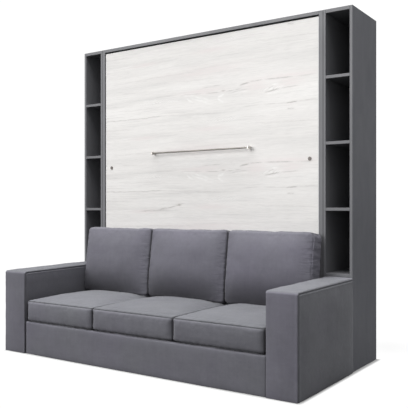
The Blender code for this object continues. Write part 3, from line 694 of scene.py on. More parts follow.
def make_object(name, points, faces, mat):
    mesh = bpy.data.meshes.new(name)
    mesh.from_pydata([tuple(p) for p in points], [], faces)
    mesh.update()
    obj = bpy.data.objects.new(name, mesh)
    scene.collection.objects.link(obj)
    mesh.materials.append(mat)
    mesh.shade_smooth()
    return obj


def get_points(obj):
    out = np.zeros(len(obj.data.vertices) * 3, np.float32)
    obj.data.vertices.foreach_get("co", out)
    return out.reshape(-1, 3).astype(float)


def set_points(obj, points):
    obj.data.vertices.foreach_set("co", points.astype(np.float32).ravel())
    obj.data.update()


def get_normals(obj):
    out = np.zeros(len(obj.data.vertices) * 3, np.float32)
    obj.data.vertex_normals.foreach_get("vector", out)
    return out.reshape(-1, 3).astype(float)


def store(obj, key, values):
    attribute = obj.data.attributes.get(key) or obj.data.attributes.new(key, "FLOAT", "POINT")
    attribute.data.foreach_set("value", np.asarray(values).astype(np.float32))


def recall(obj, key):
    values = np.zeros(len(obj.data.vertices), np.float32)
    obj.data.attributes[key].data.foreach_get("value", values)
    obj.data.attributes.remove(obj.data.attributes[key])
    return values.astype(float)


def bake_modifiers(obj):
    graph = bpy.context.evaluated_depsgraph_get()
    bpy.context.view_layer.update()
    fresh = bpy.data.meshes.new_from_object(obj.evaluated_get(graph))
    obj.modifiers.clear()
    old = obj.data
    obj.data = fresh
    fresh.name = obj.name
    bpy.data.meshes.remove(old)
    return obj


def finer(obj, rest, half, levels, crease_pairs, crease):
    """Smooth subdivision that keeps the sewn edges firm. Returns each new point's place
    in the unit box."""
    for key, axis in (("rx", 0), ("ry", 1), ("rz", 2)):
        store(obj, key, rest[:, axis] / half[axis])
    if crease_pairs:
        rel = rest / half
        edges = np.zeros(len(obj.data.edges) * 2, np.int32)
        obj.data.edges.foreach_get("vertices", edges)
        edges = edges.reshape(-1, 2)
        value = np.zeros(len(edges), np.float32)
        for (a, sa), (b, sb) in crease_pairs:
            at = (rel[:, a] * sa > 0.9999) & (rel[:, b] * sb > 0.9999)
            value[at[edges[:, 0]] & at[edges[:, 1]]] = crease
        attribute = obj.data.attributes.new("crease_edge", "FLOAT", "EDGE")
        attribute.data.foreach_set("value", value)
    mod = obj.modifiers.new("finer", "SUBSURF")
    mod.levels = mod.render_levels = levels
    mod.use_creases = True
    bake_modifiers(obj)
    if obj.data.attributes.get("crease_edge"):
        obj.data.attributes.remove(obj.data.attributes["crease_edge"])
    return np.stack([recall(obj, k) for k in ("rx", "ry", "rz")], axis=1)


def simulate(obj, pins, pressure, frames=20, stiff=14.0, bend=0.6):
    """Blows the cover up over its filling with cloth simulation; the seams stay where they
    are sewn. Returns how far each point moved."""
    before = get_points(obj)
    group = obj.vertex_groups.new(name="pins")
    for i, weight in enumerate(pins):
        if weight > 0:
            group.add([i], float(weight), "REPLACE")
    mod = obj.modifiers.new("cloth", "CLOTH")
    cs = mod.settings
    cs.quality = 6
    cs.mass = 0.25
    cs.tension_stiffness = stiff
    cs.compression_stiffness = stiff
    cs.shear_stiffness = stiff * 0.35
    cs.bending_stiffness = bend
    cs.tension_damping = 8
    cs.compression_damping = 8
    cs.shear_damping = 8
    cs.air_damping = 2.0
    cs.use_pressure = True
    cs.uniform_pressure_force = pressure
    cs.vertex_group_mass = "pins"
    cs.pin_stiffness = 1.0
    cs.effector_weights.gravity = 0.0
    mod.collision_settings.use_collision = False
    mod.collision_settings.use_self_collision = False
    mod.point_cache.frame_start = 1
    mod.point_cache.frame_end = frames
    for f in range(1, frames + 1):
        scene.frame_set(f)
    graph = bpy.context.evaluated_depsgraph_get()
    shown = obj.evaluated_get(graph)
    after = np.zeros(len(shown.data.vertices) * 3, np.float32)
    shown.data.vertices.foreach_get("co", after)
    after = after.reshape(-1, 3).astype(float)
    obj.modifiers.clear()
    obj.vertex_groups.clear()
    scene.frame_set(1)
    return after - before


def fractal(points, scale, seed, octaves=3):
    out = np.zeros(len(points))
    offset = Vector((seed * 3.17, seed * 1.91, seed * 2.63))
    for i, p in enumerate(points):
        out[i] = noise.fractal(Vector(p) * scale + offset, 0.6, 2.0, octaves,
                               noise_basis="PERLIN_ORIGINAL")
    return out


def seam_distance(points, lines):
    """Distance of each point to the nearest seam, and how far along that seam it lies."""
    best = np.full(len(points), 1e9)
    along = np.zeros(len(points))
    for line in lines:
        run = 0.0
        for a, b in zip(line[:-1], line[1:]):
            ab = b - a
            length = float(np.linalg.norm(ab))
            t = np.clip(((points - a) @ ab) / max(ab @ ab, 1e-12), 0, 1)
            d = np.linalg.norm(points - (a + t[:, None] * ab), axis=1)
            nearer = d < best
            along = np.where(nearer, run + t * length, along)
            best = np.minimum(best, d)
            run += length
    return best, along


def edge_lines(points, rel, pairs):
    """The ordered points on the named edges of a box, as seam lines."""
    lines = []
    for (a, sa), (b, sb) in pairs:
        free = 3 - a - b
        pick = np.where((rel[:, a] * sa > 0.999) & (rel[:, b] * sb > 0.999))[0]
        pick = pick[np.argsort(rel[pick, free])]
        lines.append(points[pick])
    return lines


def cushion(name, size, centre, matrix, seams, step, pressure, main, crown, side, corner,
            after=None, painted_shade_and_highlight=None, groove=0.0034, width=0.0050, seed=1, mat=None, levels=1,
            crease=0.8, bend=0.6, flat=1.6, faint=None, cast=None, folds=None):
    """A sewn cushion: box grid, cloth simulation with the seams held, finer surface,
    then the seams are drawn in. main is the axis the broad faces point along; crown and
    side are how far the broad faces and the boxing swell."""
    points, faces, on = lattice_box(size, step)
    half = np.array(size) / 2
    rest = points.copy()
    a, b, radius = corner
    points = round_plan(points, half[a], half[b], a, b, radius)
    obj = make_object(name, points, faces, mat or FABRIC)
    pins = np.zeros(len(points))
    for (a, sa), (b, sb) in seams:
        pins[(on[:, a] == sa) & (on[:, b] == sb)] = 1.0
    broad = on[:, main] != 0
    normals = get_normals(obj)
    move = simulate(obj, pins, pressure, bend=bend)
    far = np.linalg.norm(move, axis=1)
    new = points.copy()
    for pick, goal in ((broad, crown), (~broad, side)):
        top = max(np.quantile(far[pick], 0.995), 1e-6)
        share = np.clip(far / top, 0, 1)
        swell = goal * (1 - (1 - share) ** flat)
        new = np.where(pick[:, None], points + move / np.maximum(far, 1e-9)[:, None] * swell[:, None], new)
    set_points(obj, new)
    rel = finer(obj, rest, half, levels, seams, crease)
    fine = get_points(obj)
    far, along = seam_distance(fine, edge_lines(fine, rel, seams))
    normals = get_normals(obj)
    # the cover swells beside each seam and dips at it, and puckers a little near it
    dip = -groove * np.exp(-(far / width) ** 2) + groove * 0.4 * np.exp(-((far - 2.8 * width) / (1.6 * width)) ** 2)
    pucker = fractal(fine, 34.0, seed, 2) * 0.0022 * np.exp(-((far - 0.012) / 0.030) ** 2)
    soft = fractal(fine, 5.5, seed + 5, 2) * 0.0030 * (1 - np.exp(-(far / 0.05) ** 2))
    fine = fine + normals * (dip + pucker + soft)[:, None]
    if after is not None:
        fine = after(fine, rel, far, half)
    set_points(obj, fine)
    # a seam seen in full light draws a fainter line
    store(obj, "seam", np.minimum(far + (faint(rel, fine, half) if faint is not None else 0.0), 0.2))
    store(obj, "along", along)
    store(obj, "painted_shade_and_highlight", painted_shade_and_highlight(rel, fine, half) if painted_shade_and_highlight is not None else np.zeros(len(fine)))
    store(obj, "cast", cast(rel, fine, half) if cast is not None else np.zeros(len(fine)))
    store(obj, "folds", folds(rel, fine, half) if folds is not None else np.zeros(len(fine)))
    obj.data.transform(matrix @ Matrix.Translation(Vector(centre)))
    obj.data.update()
    obj.data.shade_smooth()
    return obj


# ------------------------------------------------------------------ seat cushions
FACE_EDGES_Z = [((0, -1), (2, 1)), ((0, 1), (2, 1)), ((1, -1), (2, 1)), ((1, 1), (2, 1)),
                ((0, -1), (2, -1)), ((0, 1), (2, -1)), ((1, -1), (2, -1)), ((1, 1), (2, -1))]
FACE_EDGES_Y = [((0, -1), (1, 1)), ((0, 1), (1, 1)), ((2, -1), (1, 1)), ((2, 1), (1, 1)),
                ((0, -1), (1, -1)), ((0, 1), (1, -1)), ((2, -1), (1, -1)), ((2, 1), (1, -1))]

STEP = 0.013
DECK_TOP = 0.2136
for index, word in enumerate(("left", "centre", "right")):
    low, high = (np.array(v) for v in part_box(f"seat_cushion_{word}"))
    # a narrow shadow gap to each arm
    low = low + np.array([0.0095 if word == "left" else 0.0012, 0.004, 0.0078])
    high = high - np.array([0.0095 if word == "right" else 0.0012, 0.0, -0.0045])
    size, centre = high - low, (low + high) / 2

    def press(fine, rel, far, half, centre=centre, low=low, high=high):
        world = fine + centre
        # the underside sinks onto the deck
        world[:, 2] = np.maximum(world[:, 2], DECK_TOP)
        # pressed down under the back cushion
        y, z = world[:, 1], world[:, 2]
        under = 0.3650 - 0.1405 * (np.maximum(y, -0.02) + 0.02)
        t = np.clip((y + 0.074) / 0.044, 0, 1)
        t = t * t * (3 - 2 * t)
        limit = under * t + 0.40 * (1 - t)
        upper = z > centre[2]
        world[:, 2] = np.where(upper & (t > 0), np.minimum(z, z * (1 - t) + np.minimum(z, limit) * t), z)
        # the sides lie against the neighbours
        world[:, 0] = np.clip(world[:, 0], low[0] - 0.0008, high[0] + 0.0008)
        world[:, 1] = np.maximum(world[:, 1], low[1] - 0.0150)
        return world - centre

    def seat_shade(rel, fine, half, centre=centre):
        # painted shade along the back cushion, beside the arms and low down
        world = fine + centre
        rear = np.clip((world[:, 1] + 0.105) / 0.060, 0, 1) ** 2 * 0.30
        low_edge = np.exp(-(world[:, 2] - 0.221) / 0.010) * 0.40
        face = rel[:, 1] < -0.999
        front = np.where(face, 0.10, 0.0)
        right = np.where(rel[:, 1] < -0.9, np.exp(-(half[0] - fine[:, 0]) / 0.035) * 0.16, 0.0)
        sides = np.where(np.abs(rel[:, 0]) > 0.999, 0.55, 0.0)
        # light caught along the welts
        welt = np.where(face, 0.20 * np.exp(-((half[2] - fine[:, 2] - 0.009) / 0.008) ** 2)
                        + 0.22 * np.exp(-((half[0] + fine[:, 0]) / 0.011) ** 2), 0.0)
        # painted tone by cushion: the left one lighter on top and front, the right one darker on its front
        place = {-1: (0.07, 0.03), 0: (0.0, 0.0), 1: (0.0, -0.07)}[int(np.sign(round(centre[0], 1)))]
        level = np.where(rel[:, 2] > 0.999, place[0], 0.0) + np.where(face, place[1], 0.0)
        return np.clip(rear + low_edge + front + right + sides, 0, 0.85) - welt - level

    # painted sheen tint by face: the top turned greener than the other faces
    def seat_cast(rel, fine, half):
        return np.where(rel[:, 2] > 0.999, 1.0, 0.2)

    seat = cushion(f"seat_{word}", size, centre, Matrix.Identity(4), FACE_EDGES_Z, STEP,
                   pressure=5.5, main=2, crown=0.037, side=0.0125, corner=(0, 1, 0.007),
                   after=press, painted_shade_and_highlight=seat_shade, seed=3 + index, cast=seat_cast)
    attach(seat, "cabinet_and_sofa")
    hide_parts(f"seat_cushion_{word}")
    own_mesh(seat)

# ------------------------------------------------------------------ back cushions
THICK = 0.116
TALL = 0.470
for index, word in enumerate(("left", "centre", "right")):
    low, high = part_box(f"back_cushion_{word}")
    half_x = (high[0] - low[0]) / 2 - 0.0012
    mid_x = (high[0] + low[0]) / 2
    foot, head = 0.0085, TALL + 0.004
    face = -0.006
    size = np.array([half_x * 2, THICK - face, head - foot])
    centre = np.array([0.0, (THICK + face) / 2, (foot + head) / 2])
    matrix = (Matrix.Translation(Vector((mid_x, *CUSHION_HINGE)))
              @ Matrix.Rotation(-CUSHION_LEAN, 4, "X"))
    body = {"left": "cushion_l", "centre": "cushion_c", "right": "cushion_r"}[word]

    def slump(fine, rel, far, half, index=index):
        out = fine.copy()
        up = np.clip(rel[:, 2], -1, 1)
        across = np.clip(rel[:, 0], -1, 1)
        # the top edge sags and waves a little between its corners
        head_share = np.clip((up - 0.2) / 0.8, 0, 1) ** 2
        wave = fractal(np.stack([fine[:, 0], fine[:, 1] * 0.3, np.zeros(len(fine))], axis=1), 9.0, 50 + index, 2)
        out[:, 2] += head_share * (0.004 * wave - 0.006 * (1 - across ** 2))
        # the filling sinks: the belly sits below the middle
        front = np.where(rel[:, 1] < -0.999, 1.0, 0.0)
        belly = front * (1 - across ** 2) * np.exp(-((up + 0.35) / 0.55) ** 2)
        out[:, 1] -= 0.004 * belly
        # full under the top edge
        brow = front * (1 - across ** 4) * np.clip(1 - up, 0, 1) ** 0.5 * np.exp(-((up - 0.55) / 0.38) ** 2)
        out[:, 1] -= 0.011 * brow
        # the right side of the front falls away a little
        out[:, 1] += front * 0.006 * np.clip((across - 0.45) / 0.55, 0, 1) ** 2 * (1 - up ** 8)
        # the foot of the front is tucked in
        foot_share = np.clip((-0.35 - up) / 0.65, 0, 1) ** 1.7 * np.clip(0.5 - rel[:, 1], 0, 1)
        out[:, 1] += 0.019 * foot_share
        if index == 2:
            # its free upper corner leans back
            corner_share = np.clip(up, 0, 1) ** 1.5 * np.clip(across, 0, 1) ** 5 * np.clip((1 - rel[:, 1]) / 2, 0, 1)
            out[:, 1] += 0.034 * corner_share
            # and it narrows to the head on its free side
            free_side = np.clip(across, 0, 1) ** 4
            height = (up + 1) / 2
            ahead = np.clip((1 - rel[:, 1]) / 2, 0, 1)
            out[:, 0] += free_side * (0.004 * ahead * (1 - height) - height * (0.008 + 0.009 * ahead))
        # upright folds in the boxing at both ends
        end = np.clip((np.abs(rel[:, 0]) - 0.985) / 0.015, 0, 1)
        fold = np.sin(fine[:, 2] * 2 * pi / 0.052 + 4 * fractal(fine, 7.0, 30 + index, 2))
        out[:, 0] -= np.sign(rel[:, 0]) * end * 0.0018 * (1 + fold) * (1 - np.abs(rel[:, 1])) ** 0.5
        # stay off the neighbours, the door behind and the seat below
        out[:, 0] = np.clip(out[:, 0], -half[0] - 0.0006, half[0] + 0.0006)
        out[:, 1] = np.minimum(out[:, 1], half[1] + 0.008)
        out[:, 2] = np.maximum(out[:, 2], -half[2] - 0.0015)
        return out

    def back_shade(rel, fine, half, index=index):
        # painted shade towards the seat and where the cushions meet
        up = (fine[:, 2] + half[2]) / (2 * half[2])
        foot_dark = 0.90 * (1 - np.clip(up / 0.55, 0, 1) ** 1.35) ** 1.2
        foot_dark = foot_dark * (1 - 0.45 * np.exp(-(half[0] + fine[:, 0]) / 0.022))
        # it lightens again towards the right-hand corner
        reach, share = ((0.11, 1.2), (0.09, 0.9), (0.05, 0.0))[index]
        foot_dark = foot_dark * (1 - np.minimum(share * np.exp((fine[:, 0] - half[0]) / reach), 0.80))
        # only where a neighbour stands beside it
        near = np.ones(len(fine))
        if index == 0:
            near = np.where(rel[:, 0] < 0, 0.0, near)
        if index == 2:
            near = np.where(rel[:, 0] > 0, 0.0, near)
        meet = np.exp(-(half[0] - np.abs(fine[:, 0])) / 0.010) * 0.30 * near
        right = np.where(rel[:, 1] < -0.9, np.exp(-(half[0] - fine[:, 0]) / 0.040) * 0.14, 0.0)
        sides = np.where(np.abs(rel[:, 0]) > 0.999, 0.04 + 0.40 * near, 0.0)
        # painted highlights along the top and left edges of the front, on the top and on the free end, and a painted
        # tone by cushion on the front
        face = rel[:, 1] < -0.999
        welt = np.where(face, 0.27 * np.exp(-np.maximum(half[2] - fine[:, 2], 0) / 0.032)
                        + 0.12 * np.exp(-((half[0] + fine[:, 0]) / 0.012) ** 2), 0.0)
        top = np.where(rel[:, 2] > 0.999, 0.14, 0.0)
        free = np.where((index == 2) & (rel[:, 0] > 0.999), 0.10, 0.0)
        level = np.where(face, (-0.03, 0.0, 0.04)[index], 0.0)
        return np.clip(foot_dark + meet + right + sides, 0, 0.92) - welt - top - free - level

    # painted sheen tint by face: the top greener, the front more violet
    def back_cast(rel, fine, half, index=index):
        return np.where(rel[:, 2] > 0.999, 0.4, (-0.45, -0.60, -0.72)[index])

    def back_folds(rel, fine, half):
        # the cover is drawn tight towards the right-hand boxing
        across = np.clip((rel[:, 0] - 0.70) / 0.25, 0, 1)
        ends = np.where(np.abs(rel[:, 0]) > 0.999, 1.0, 0.0)
        return np.maximum(across * 0.6, ends) * (1 - np.clip(np.abs(rel[:, 2]), 0, 1) ** 6)

    def back_faint(rel, fine, half, index=index):
        upper = np.clip((rel[:, 2] - 0.90) / 0.08, 0, 1) * 0.0032
        free = np.where((index == 2) & (rel[:, 0] > 0.9), 0.0024, 0.0)
        return np.maximum(upper, free)

    back = cushion(f"back_{word}", size, centre, matrix, FACE_EDGES_Y, STEP,
                   pressure=4.5, main=1, crown=0.038, side=0.008, corner=(0, 2, 0.024),
                   after=slump, painted_shade_and_highlight=back_shade, seed=11 + index, flat=1.05, faint=back_faint,
                   cast=back_cast, folds=back_folds)
    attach(back, body)
    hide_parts(f"back_cushion_{word}")
    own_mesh(back)


# ------------------------------------------------------------------ sofa arms and front
ROWS = (0.003, 0.006, 0.009, 0.012, 0.016, 0.022, 0.031)


def upholstered(name, node, swell, radius, seam_inset=None, roll=0.0, step=0.016,
                groove=0.0030, width=0.0038, seed=1, mat=None, power=(8.0, 8.0, 8.0), shade=None,
                faint=0.0, widen=(0.0, 0.0), raised=(0.0, 0.0), cast=None):
    """A padded timber block: the cover runs as one band over the top and down the front,
    with side panels sewn in a little inside the edges. swell holds how far the padding
    bulges on the six faces (-x, +x, -y, +y, -z, +z), and power how flat it stays along
    each axis before it falls to the edges."""
    low, high = (np.array(v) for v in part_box(node))
    size, centre = high - low, (low + high) / 2
    size[2] += 0.012
    centre[2] -= 0.006
    points, faces, on = lattice_box(size, step, ROWS)
    half = size / 2
    rest = points.copy()
    obj = make_object(name, points, faces, mat or FABRIC)
    rel = finer(obj, rest, half, 1, None, 0.0)
    flat = rel * half
    lines = []
    if seam_inset:
        y0, z1 = -half[1] + seam_inset, half[2] - seam_inset
        turn = [(y0 + roll * (1 - sin(k * pi / 16)), z1 - roll * (1 - cos(k * pi / 16)))
                for k in range(9)]
        path = [(half[1], z1)] + turn + [(y0, -half[2])]
        for side in (-1, 1):
            lines.append(np.array([(side * half[0], y, z) for y, z in path]))
        far, along = seam_distance(flat, lines)
    else:
        far, along = np.full(len(flat), 0.2), np.zeros(len(flat))
    fine = round_edges(flat, half, radius)
    if roll:
        y0, z0 = -half[1] + roll, half[2] - roll
        dy, dz = np.minimum(flat[:, 1] - y0, 0), np.maximum(flat[:, 2] - z0, 0)
        reach = np.hypot(dy, dz)
        big = np.maximum(np.abs(dy), np.abs(dz))
        scale = np.where(reach > 1e-9, big / np.maximum(reach, 1e-9), 1.0)
        both = (dy < 0) & (dz > 0)
        fine[:, 1] = np.where(both, y0 + dy * scale, fine[:, 1])
        fine[:, 2] = np.where(both, z0 + dz * scale, fine[:, 2])
    # padding
    for axis in range(3):
        other = [k for k in range(3) if k != axis]
        plan = np.ones(len(fine))
        for k in other:
            # the cover stays full where it meets the cabinet
            fall = np.where(rel[:, k] > 0, 0.0, 1.0) if (k == 1 and axis == 2) else 1.0
            plan = plan * (1 - fall * np.clip(np.abs(rel[:, k]), 0, 1) ** power[axis])
        for sign, amount in ((-1, swell[axis * 2]), (1, swell[axis * 2 + 1])):
            face = rel[:, axis] * sign > 0.9999
            fine[:, axis] += np.where(face, sign * amount * plan, 0.0)
    # thicker padding on one whole side
    fine[:, 0] += np.where(rel[:, 0] < 0, -widen[0], widen[1]) * np.abs(rel[:, 0])
    # and under the whole top, from the front to the rear
    lift = raised[0] + (raised[1] - raised[0]) * np.clip((rel[:, 1] + 1) / 2, 0, 1)
    fine[:, 2] += lift * np.clip((rel[:, 2] + 1) / 2, 0, 1)
    set_points(obj, fine)
    normals = get_normals(obj)
    dip = -groove * np.exp(-(far / width) ** 2) + 0.0008 * np.exp(-((far - 0.010) / 0.006) ** 2)
    ripple = fractal(fine, 30.0, seed + 2, 2) * 0.0007 * np.exp(-(far / 0.03) ** 2)
    soft = fractal(fine, 5.0, seed, 2) * 0.0016
    fine = fine + normals * (dip + ripple + soft)[:, None]
    world = fine + centre
    world[:, 2] = np.maximum(world[:, 2], 0.0)
    set_points(obj, world)
    store(obj, "seam", np.minimum(far + faint, 0.2))
    store(obj, "along", along)
    store(obj, "painted_shade_and_highlight", shade(world) if shade is not None else np.zeros(len(world)))
    store(obj, "cast", cast(rel) if cast is not None else np.zeros(len(world)))
    store(obj, "folds", np.zeros(len(world)))
    obj.data.shade_smooth()
    return obj


for word in ("left", "right"):
    side = -1 if word == "left" else 1
    outer, inner = (0.006 if word == "left" else 0.014), 0.001
    swell = ((outer, inner) if word == "left" else (inner, outer)) + (0.009, 0.0, 0.0, 0.006)

    def arm_shade(world, side=side):
        # painted shade: the inner panel is darkest down by the seat; the other faces get painted shade and light by
        # face, near the floor and across the front
        inner = np.where(world[:, 0] * side < ARM_IN + 0.003, 1.0, 0.0)
        inside = inner * (0.14 + 0.30 * np.clip((0.530 - world[:, 2]) / 0.060, 0, 1))
        seat = inner * np.clip((0.44 - world[:, 2]) / 0.10, 0, 1) * 0.16
        front = np.where(world[:, 1] < SOFA_FRONT + 0.004, 0.11 if side < 0 else 0.02, 0.0)
        out = np.where(world[:, 0] * side > ARM_OUT + 0.004, 0.05, 0.0)
        near_shelf = np.clip((world[:, 1] - 0.02) / 0.12, 0, 1) if side > 0 else 0.0
        top = np.where(world[:, 2] > ARM_TOP + 0.004, -0.12 if side < 0 else 0.06 + 0.26 * near_shelf, 0.0)
        right = np.where(world[:, 1] < SOFA_FRONT + 0.004,
                         np.clip((world[:, 0] - (-ARM_OUT if side < 0 else ARM_IN)) / 0.18, 0, 1) * 0.10, 0.0)
        floor_edge = 0.30 * np.exp(-world[:, 2] / 0.010)
        # light caught at the upright edges of the front
        face = world[:, 1] < SOFA_FRONT + 0.006
        left_x = (-ARM_OUT - 0.014) if side < 0 else ARM_IN
        right_x = -ARM_IN if side < 0 else ARM_OUT
        edge = np.where(face, 0.10 * np.exp(-((world[:, 0] - left_x) / 0.014) ** 2), 0.0)
        if side > 0:
            edge = edge + np.where(face, 0.10 * np.exp(-((right_x - world[:, 0]) / 0.012) ** 2), 0.0)
        edge = edge + np.where(face, 0.20 * np.exp(-np.maximum(ARM_TOP + 0.004 - world[:, 2], 0) / 0.013), 0.0)
        return np.clip(inside + seat + front + right + floor_edge + out, 0, 0.85) - edge - top

    # painted sheen tint by face: top and outer side greener, front more violet
    def arm_cast(rel, side=side):
        value = np.where(rel[:, 2] > 0.999, 0.9, np.where(rel[:, 0] * side > 0.999, 0.9, 0.3))
        return np.where(rel[:, 1] < -0.999, -0.1 if side < 0 else -0.6, value)

    arm = upholstered(f"arm_{word}", f"sofa_arm_{word}", swell, 0.006, seam_inset=0.0085,
                      roll=0.016 if word == "left" else 0.014, seed=41 if word == "left" else 47,
                      shade=arm_shade, power=(5.0, 2.2, 6.0), faint=0.0012 if word == "left" else 0.0021,
                      widen=(0.015, 0.0) if word == "left" else (0.0, 0.0),
                      raised=(0.003, 0.012) if word == "left" else (0.0065, 0.0120), cast=arm_cast)
    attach(arm, "cabinet_and_sofa")
    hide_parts(f"sofa_arm_{word}")

def front_shade(world):
    # painted shade, deeper beside the arms and near the floor, and painted highlights along the top edge and at the
    # left end of the front face
    dark = 0.13 + np.exp(-(0.9137 - np.abs(world[:, 0])) / 0.006) * 0.40 + 0.30 * np.exp(-world[:, 2] / 0.010)
    face = world[:, 1] < SEAT_FRONT + 0.004
    lit = np.where(face, 0.26 * np.exp(-((0.2100 - world[:, 2]) / 0.008) ** 2)
                   + 0.16 * np.exp(-((world[:, 0] + 0.897) / 0.007) ** 2), 0.0)
    return dark - lit


front = upholstered("base_front", "sofa_front_board", (0, 0, 0.007, 0, 0, 0), 0.010, seed=53,
                    step=0.014, shade=front_shade)
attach(front, "cabinet_and_sofa")
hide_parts("sofa_front_board")

# ------------------------------------------------------------------ mattress
low, high = (np.array(v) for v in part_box("mattress"))
size, centre = high - low - 0.006, (low + high) / 2


def quilt(fine, rel, far, half):
    out = fine.copy()
    world = fine
    # quilted lozenges on both broad faces
    p = 0.160
    u = (world[:, 0] + world[:, 2]) / p
    v = (world[:, 0] - world[:, 2]) / p
    du = np.abs(u - np.round(u)) * p / np.sqrt(2)
    dv = np.abs(v - np.round(v)) * p / np.sqrt(2)
    line = np.minimum(du, dv)
    face = np.clip((np.abs(rel[:, 1]) - 0.98) / 0.02, 0, 1) * np.clip((1 - np.maximum(np.abs(rel[:, 0]), np.abs(rel[:, 2]))) / 0.02, 0, 1)
    side = np.sign(rel[:, 1])
    puff = 0.0050 * (1 - np.exp(-(line / 0.022) ** 2)) - 0.0025
    out[:, 1] += side * face * puff
    out[:, 1] = np.clip(out[:, 1], -half[1] - 0.001, half[1] + 0.010)
    return out


mattress = cushion("mattress_cover", size, centre, Matrix.Identity(4), FACE_EDGES_Y, 0.022,
                   pressure=3.0, main=1, crown=0.006, side=0.004, corner=(0, 2, 0.060),
                   after=quilt, groove=0.004, width=0.008, seed=61, mat=TICKING)
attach(mattress, "bed")
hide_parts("mattress")

# ================================================================== CAD nodes
for name in nodes:
    if name.startswith(("case_", "bookcase_", "shelf_")):
        paint(name, LAMINATE)
paint("bed_panel", DOOR)
for name in ("bed_rail_left", "bed_rail_right", "bed_foot_rail", "bed_hinge_arm_left",
             "bed_hinge_arm_right", "leg_bracket_left", "leg_bracket_right",
             "swing_leg_left", "swing_leg_right", "gas_cylinder_left", "gas_cylinder_right"):
    paint(name, POWDER)
for name in ("gas_rod_left", "gas_rod_right"):
    paint(name, CHROME)
for name in ("hinge_plate_left", "hinge_plate_right"):
    paint(name, ZINC)
for name in ("handle_bar", "handle_post_left", "handle_post_right"):
    paint(name, HANDLE if name == "handle_bar" else HANDLE_POST)
for name in ("rail_bolt_cap_left", "rail_bolt_cap_right"):
    paint(name, CAP)
paint("slat_base", TIMBER_X)
paint("mattress_stop", TIMBER_X)
paint("sofa_rear_rail", TIMBER_X)
paint("sofa_deck", DECK)

# ================================================================== stage
floor_mesh = bpy.data.meshes.new("floor")
bm = bmesh.new()
bmesh.ops.create_grid(bm, x_segments=2, y_segments=2, size=30.0)
bm.to_mesh(floor_mesh)
bm.free()
floor = bpy.data.objects.new("floor", floor_mesh)
floor.location = (0, 0, -0.0005)
scene.collection.objects.link(floor)
mat, tree, shader = new_material("studio_floor")
# pale paper floor; it fades to pure white away from the furniture
spot = add(tree, "ShaderNodeTexCoord")
fx, fy, fz = separate(tree, spot.outputs["Object"])
out_x = math_node(tree, "MAXIMUM", math_node(tree, "SUBTRACT", math_node(tree, "ABSOLUTE", fx), 1.10), 0.0)
out_y = math_node(tree, "MAXIMUM", math_node(tree, "SUBTRACT", math_node(tree, "ABSOLUTE", fy), 0.575), 0.0)
reach = math_node(tree, "SQRT", math_node(tree, "ADD", math_node(tree, "MULTIPLY", out_x, out_x),
                                        math_node(tree, "MULTIPLY", out_y, out_y)))
fade = add(tree, "ShaderNodeMapRange", {"From Min": 0.000, "From Max": 0.026, "To Min": 0.0, "To Max": 1.0},
           interpolation_type="SMOOTHSTEP")
tree.links.new(reach, fade.inputs["Value"])
paper = noise_tex(tree, coords(tree), 60.0, 3.0, 0.6)
tone = ramp(tree, paper, [(0.3, grey(0.62)), (0.7, grey(0.66))])
tree.links.new(tone, shader.inputs["Base Color"])
shader.inputs["Roughness"].default_value = 0.9
shader.inputs["Specular IOR Level"].default_value = 0.0
white = add(tree, "ShaderNodeEmission", {"Color": (1, 1, 1, 1), "Strength": 1.05})
# the wide faint shade behind the free end of the cabinet
aside = math_node(tree, "ADD",
                  math_node(tree, "POWER", math_node(tree, "DIVIDE", math_node(tree, "SUBTRACT", fx, 1.02), 0.26), 2.0),
                  math_node(tree, "POWER", math_node(tree, "DIVIDE", math_node(tree, "SUBTRACT", fy, 0.98), 0.30), 2.0))
faintly = math_node(tree, "POWER", 2.718, math_node(tree, "MULTIPLY", aside, -1.0))
tree.links.new(math_node(tree, "SUBTRACT", 1.05, math_node(tree, "MULTIPLY", faintly, 0.085)),
               white.inputs["Strength"])
dim = add(tree, "ShaderNodeBsdfDiffuse", {"Color": (0.22, 0.22, 0.22, 1)})
lit = add(tree, "ShaderNodeMixShader")
tree.links.new(fade.outputs["Result"], lit.inputs["Fac"])
tree.links.new(shader.outputs["BSDF"], lit.inputs[1])
tree.links.new(white.outputs["Emission"], lit.inputs[2])
ray = add(tree, "ShaderNodeLightPath")
pick = add(tree, "ShaderNodeMixShader")
tree.links.new(ray.outputs["Is Camera Ray"], pick.inputs["Fac"])
tree.links.new(dim.outputs["BSDF"], pick.inputs[1])
tree.links.new(lit.outputs["Shader"], pick.inputs[2])
tree.links.new(pick.outputs["Shader"], tree.nodes["Material Output"].inputs["Surface"])
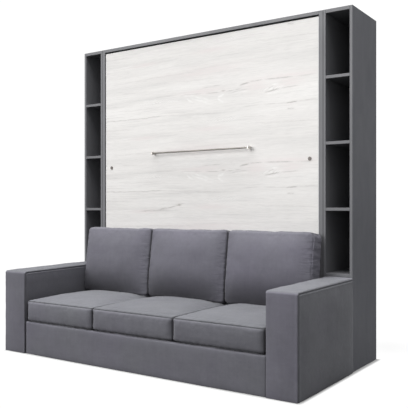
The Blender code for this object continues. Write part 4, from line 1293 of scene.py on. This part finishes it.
floor_mesh.materials.append(mat)

world = bpy.data.worlds.new("studio")
scene.world = world
world.use_nodes = True
wt = world.node_tree
background = wt.nodes["Background"]
background.inputs["Color"].default_value = (1.0, 1.0, 1.0, 1)
background.inputs["Strength"].default_value = 0.40
seen = wt.nodes.new("ShaderNodeBackground")
seen.inputs["Color"].default_value = (1, 1, 1, 1)
seen.inputs["Strength"].default_value = 1.05
path = wt.nodes.new("ShaderNodeLightPath")
choose = wt.nodes.new("ShaderNodeMixShader")
wt.links.new(path.outputs["Is Camera Ray"], choose.inputs["Fac"])
wt.links.new(background.outputs["Background"], choose.inputs[1])
wt.links.new(seen.outputs["Background"], choose.inputs[2])
wt.links.new(choose.outputs["Shader"], wt.nodes["World Output"].inputs["Surface"])


def area(name, place, target, size, power, colour=(1, 1, 1), size_y=None):
    data = bpy.data.lights.new(name, "AREA")
    data.shape = "RECTANGLE"
    data.size = size
    data.size_y = size_y or size
    data.energy = power
    data.color = colour
    obj = bpy.data.objects.new(name, data)
    obj.location = place
    obj.rotation_euler = (Vector(target) - Vector(place)).to_track_quat("-Z", "Y").to_euler()
    scene.collection.objects.link(obj)
    return obj


area("overhead", (0.0, -0.8, 7.0), (0.0, -0.3, 0.0), 7.0, 570, (1.0, 0.998, 0.99), 5.5)
area("key", (-4.6, -8.6, 4.6), (0.0, 0.0, 1.0), 5.0, 520, (1.0, 0.995, 0.985))

# ================================================================== camera
camera_data = bpy.data.cameras.new("camera")
camera_data.sensor_fit = "HORIZONTAL"
camera_data.sensor_width = 36.0
camera_data.lens = 57.5625
camera_data.shift_x = 0.0
camera_data.shift_y = 0.01172
camera_data.clip_end = 100
camera = bpy.data.objects.new("camera", camera_data)
camera.location = (2.52485, -3.50892, 0.96560)
camera.rotation_euler = (radians(90), 0, radians(34.1569))
scene.collection.objects.link(camera)
scene.camera = camera

scene.view_settings.view_transform = "Standard"
scene.view_settings.look = "None"
scene.view_settings.exposure = 0.0
scene.view_settings.gamma = 1.0
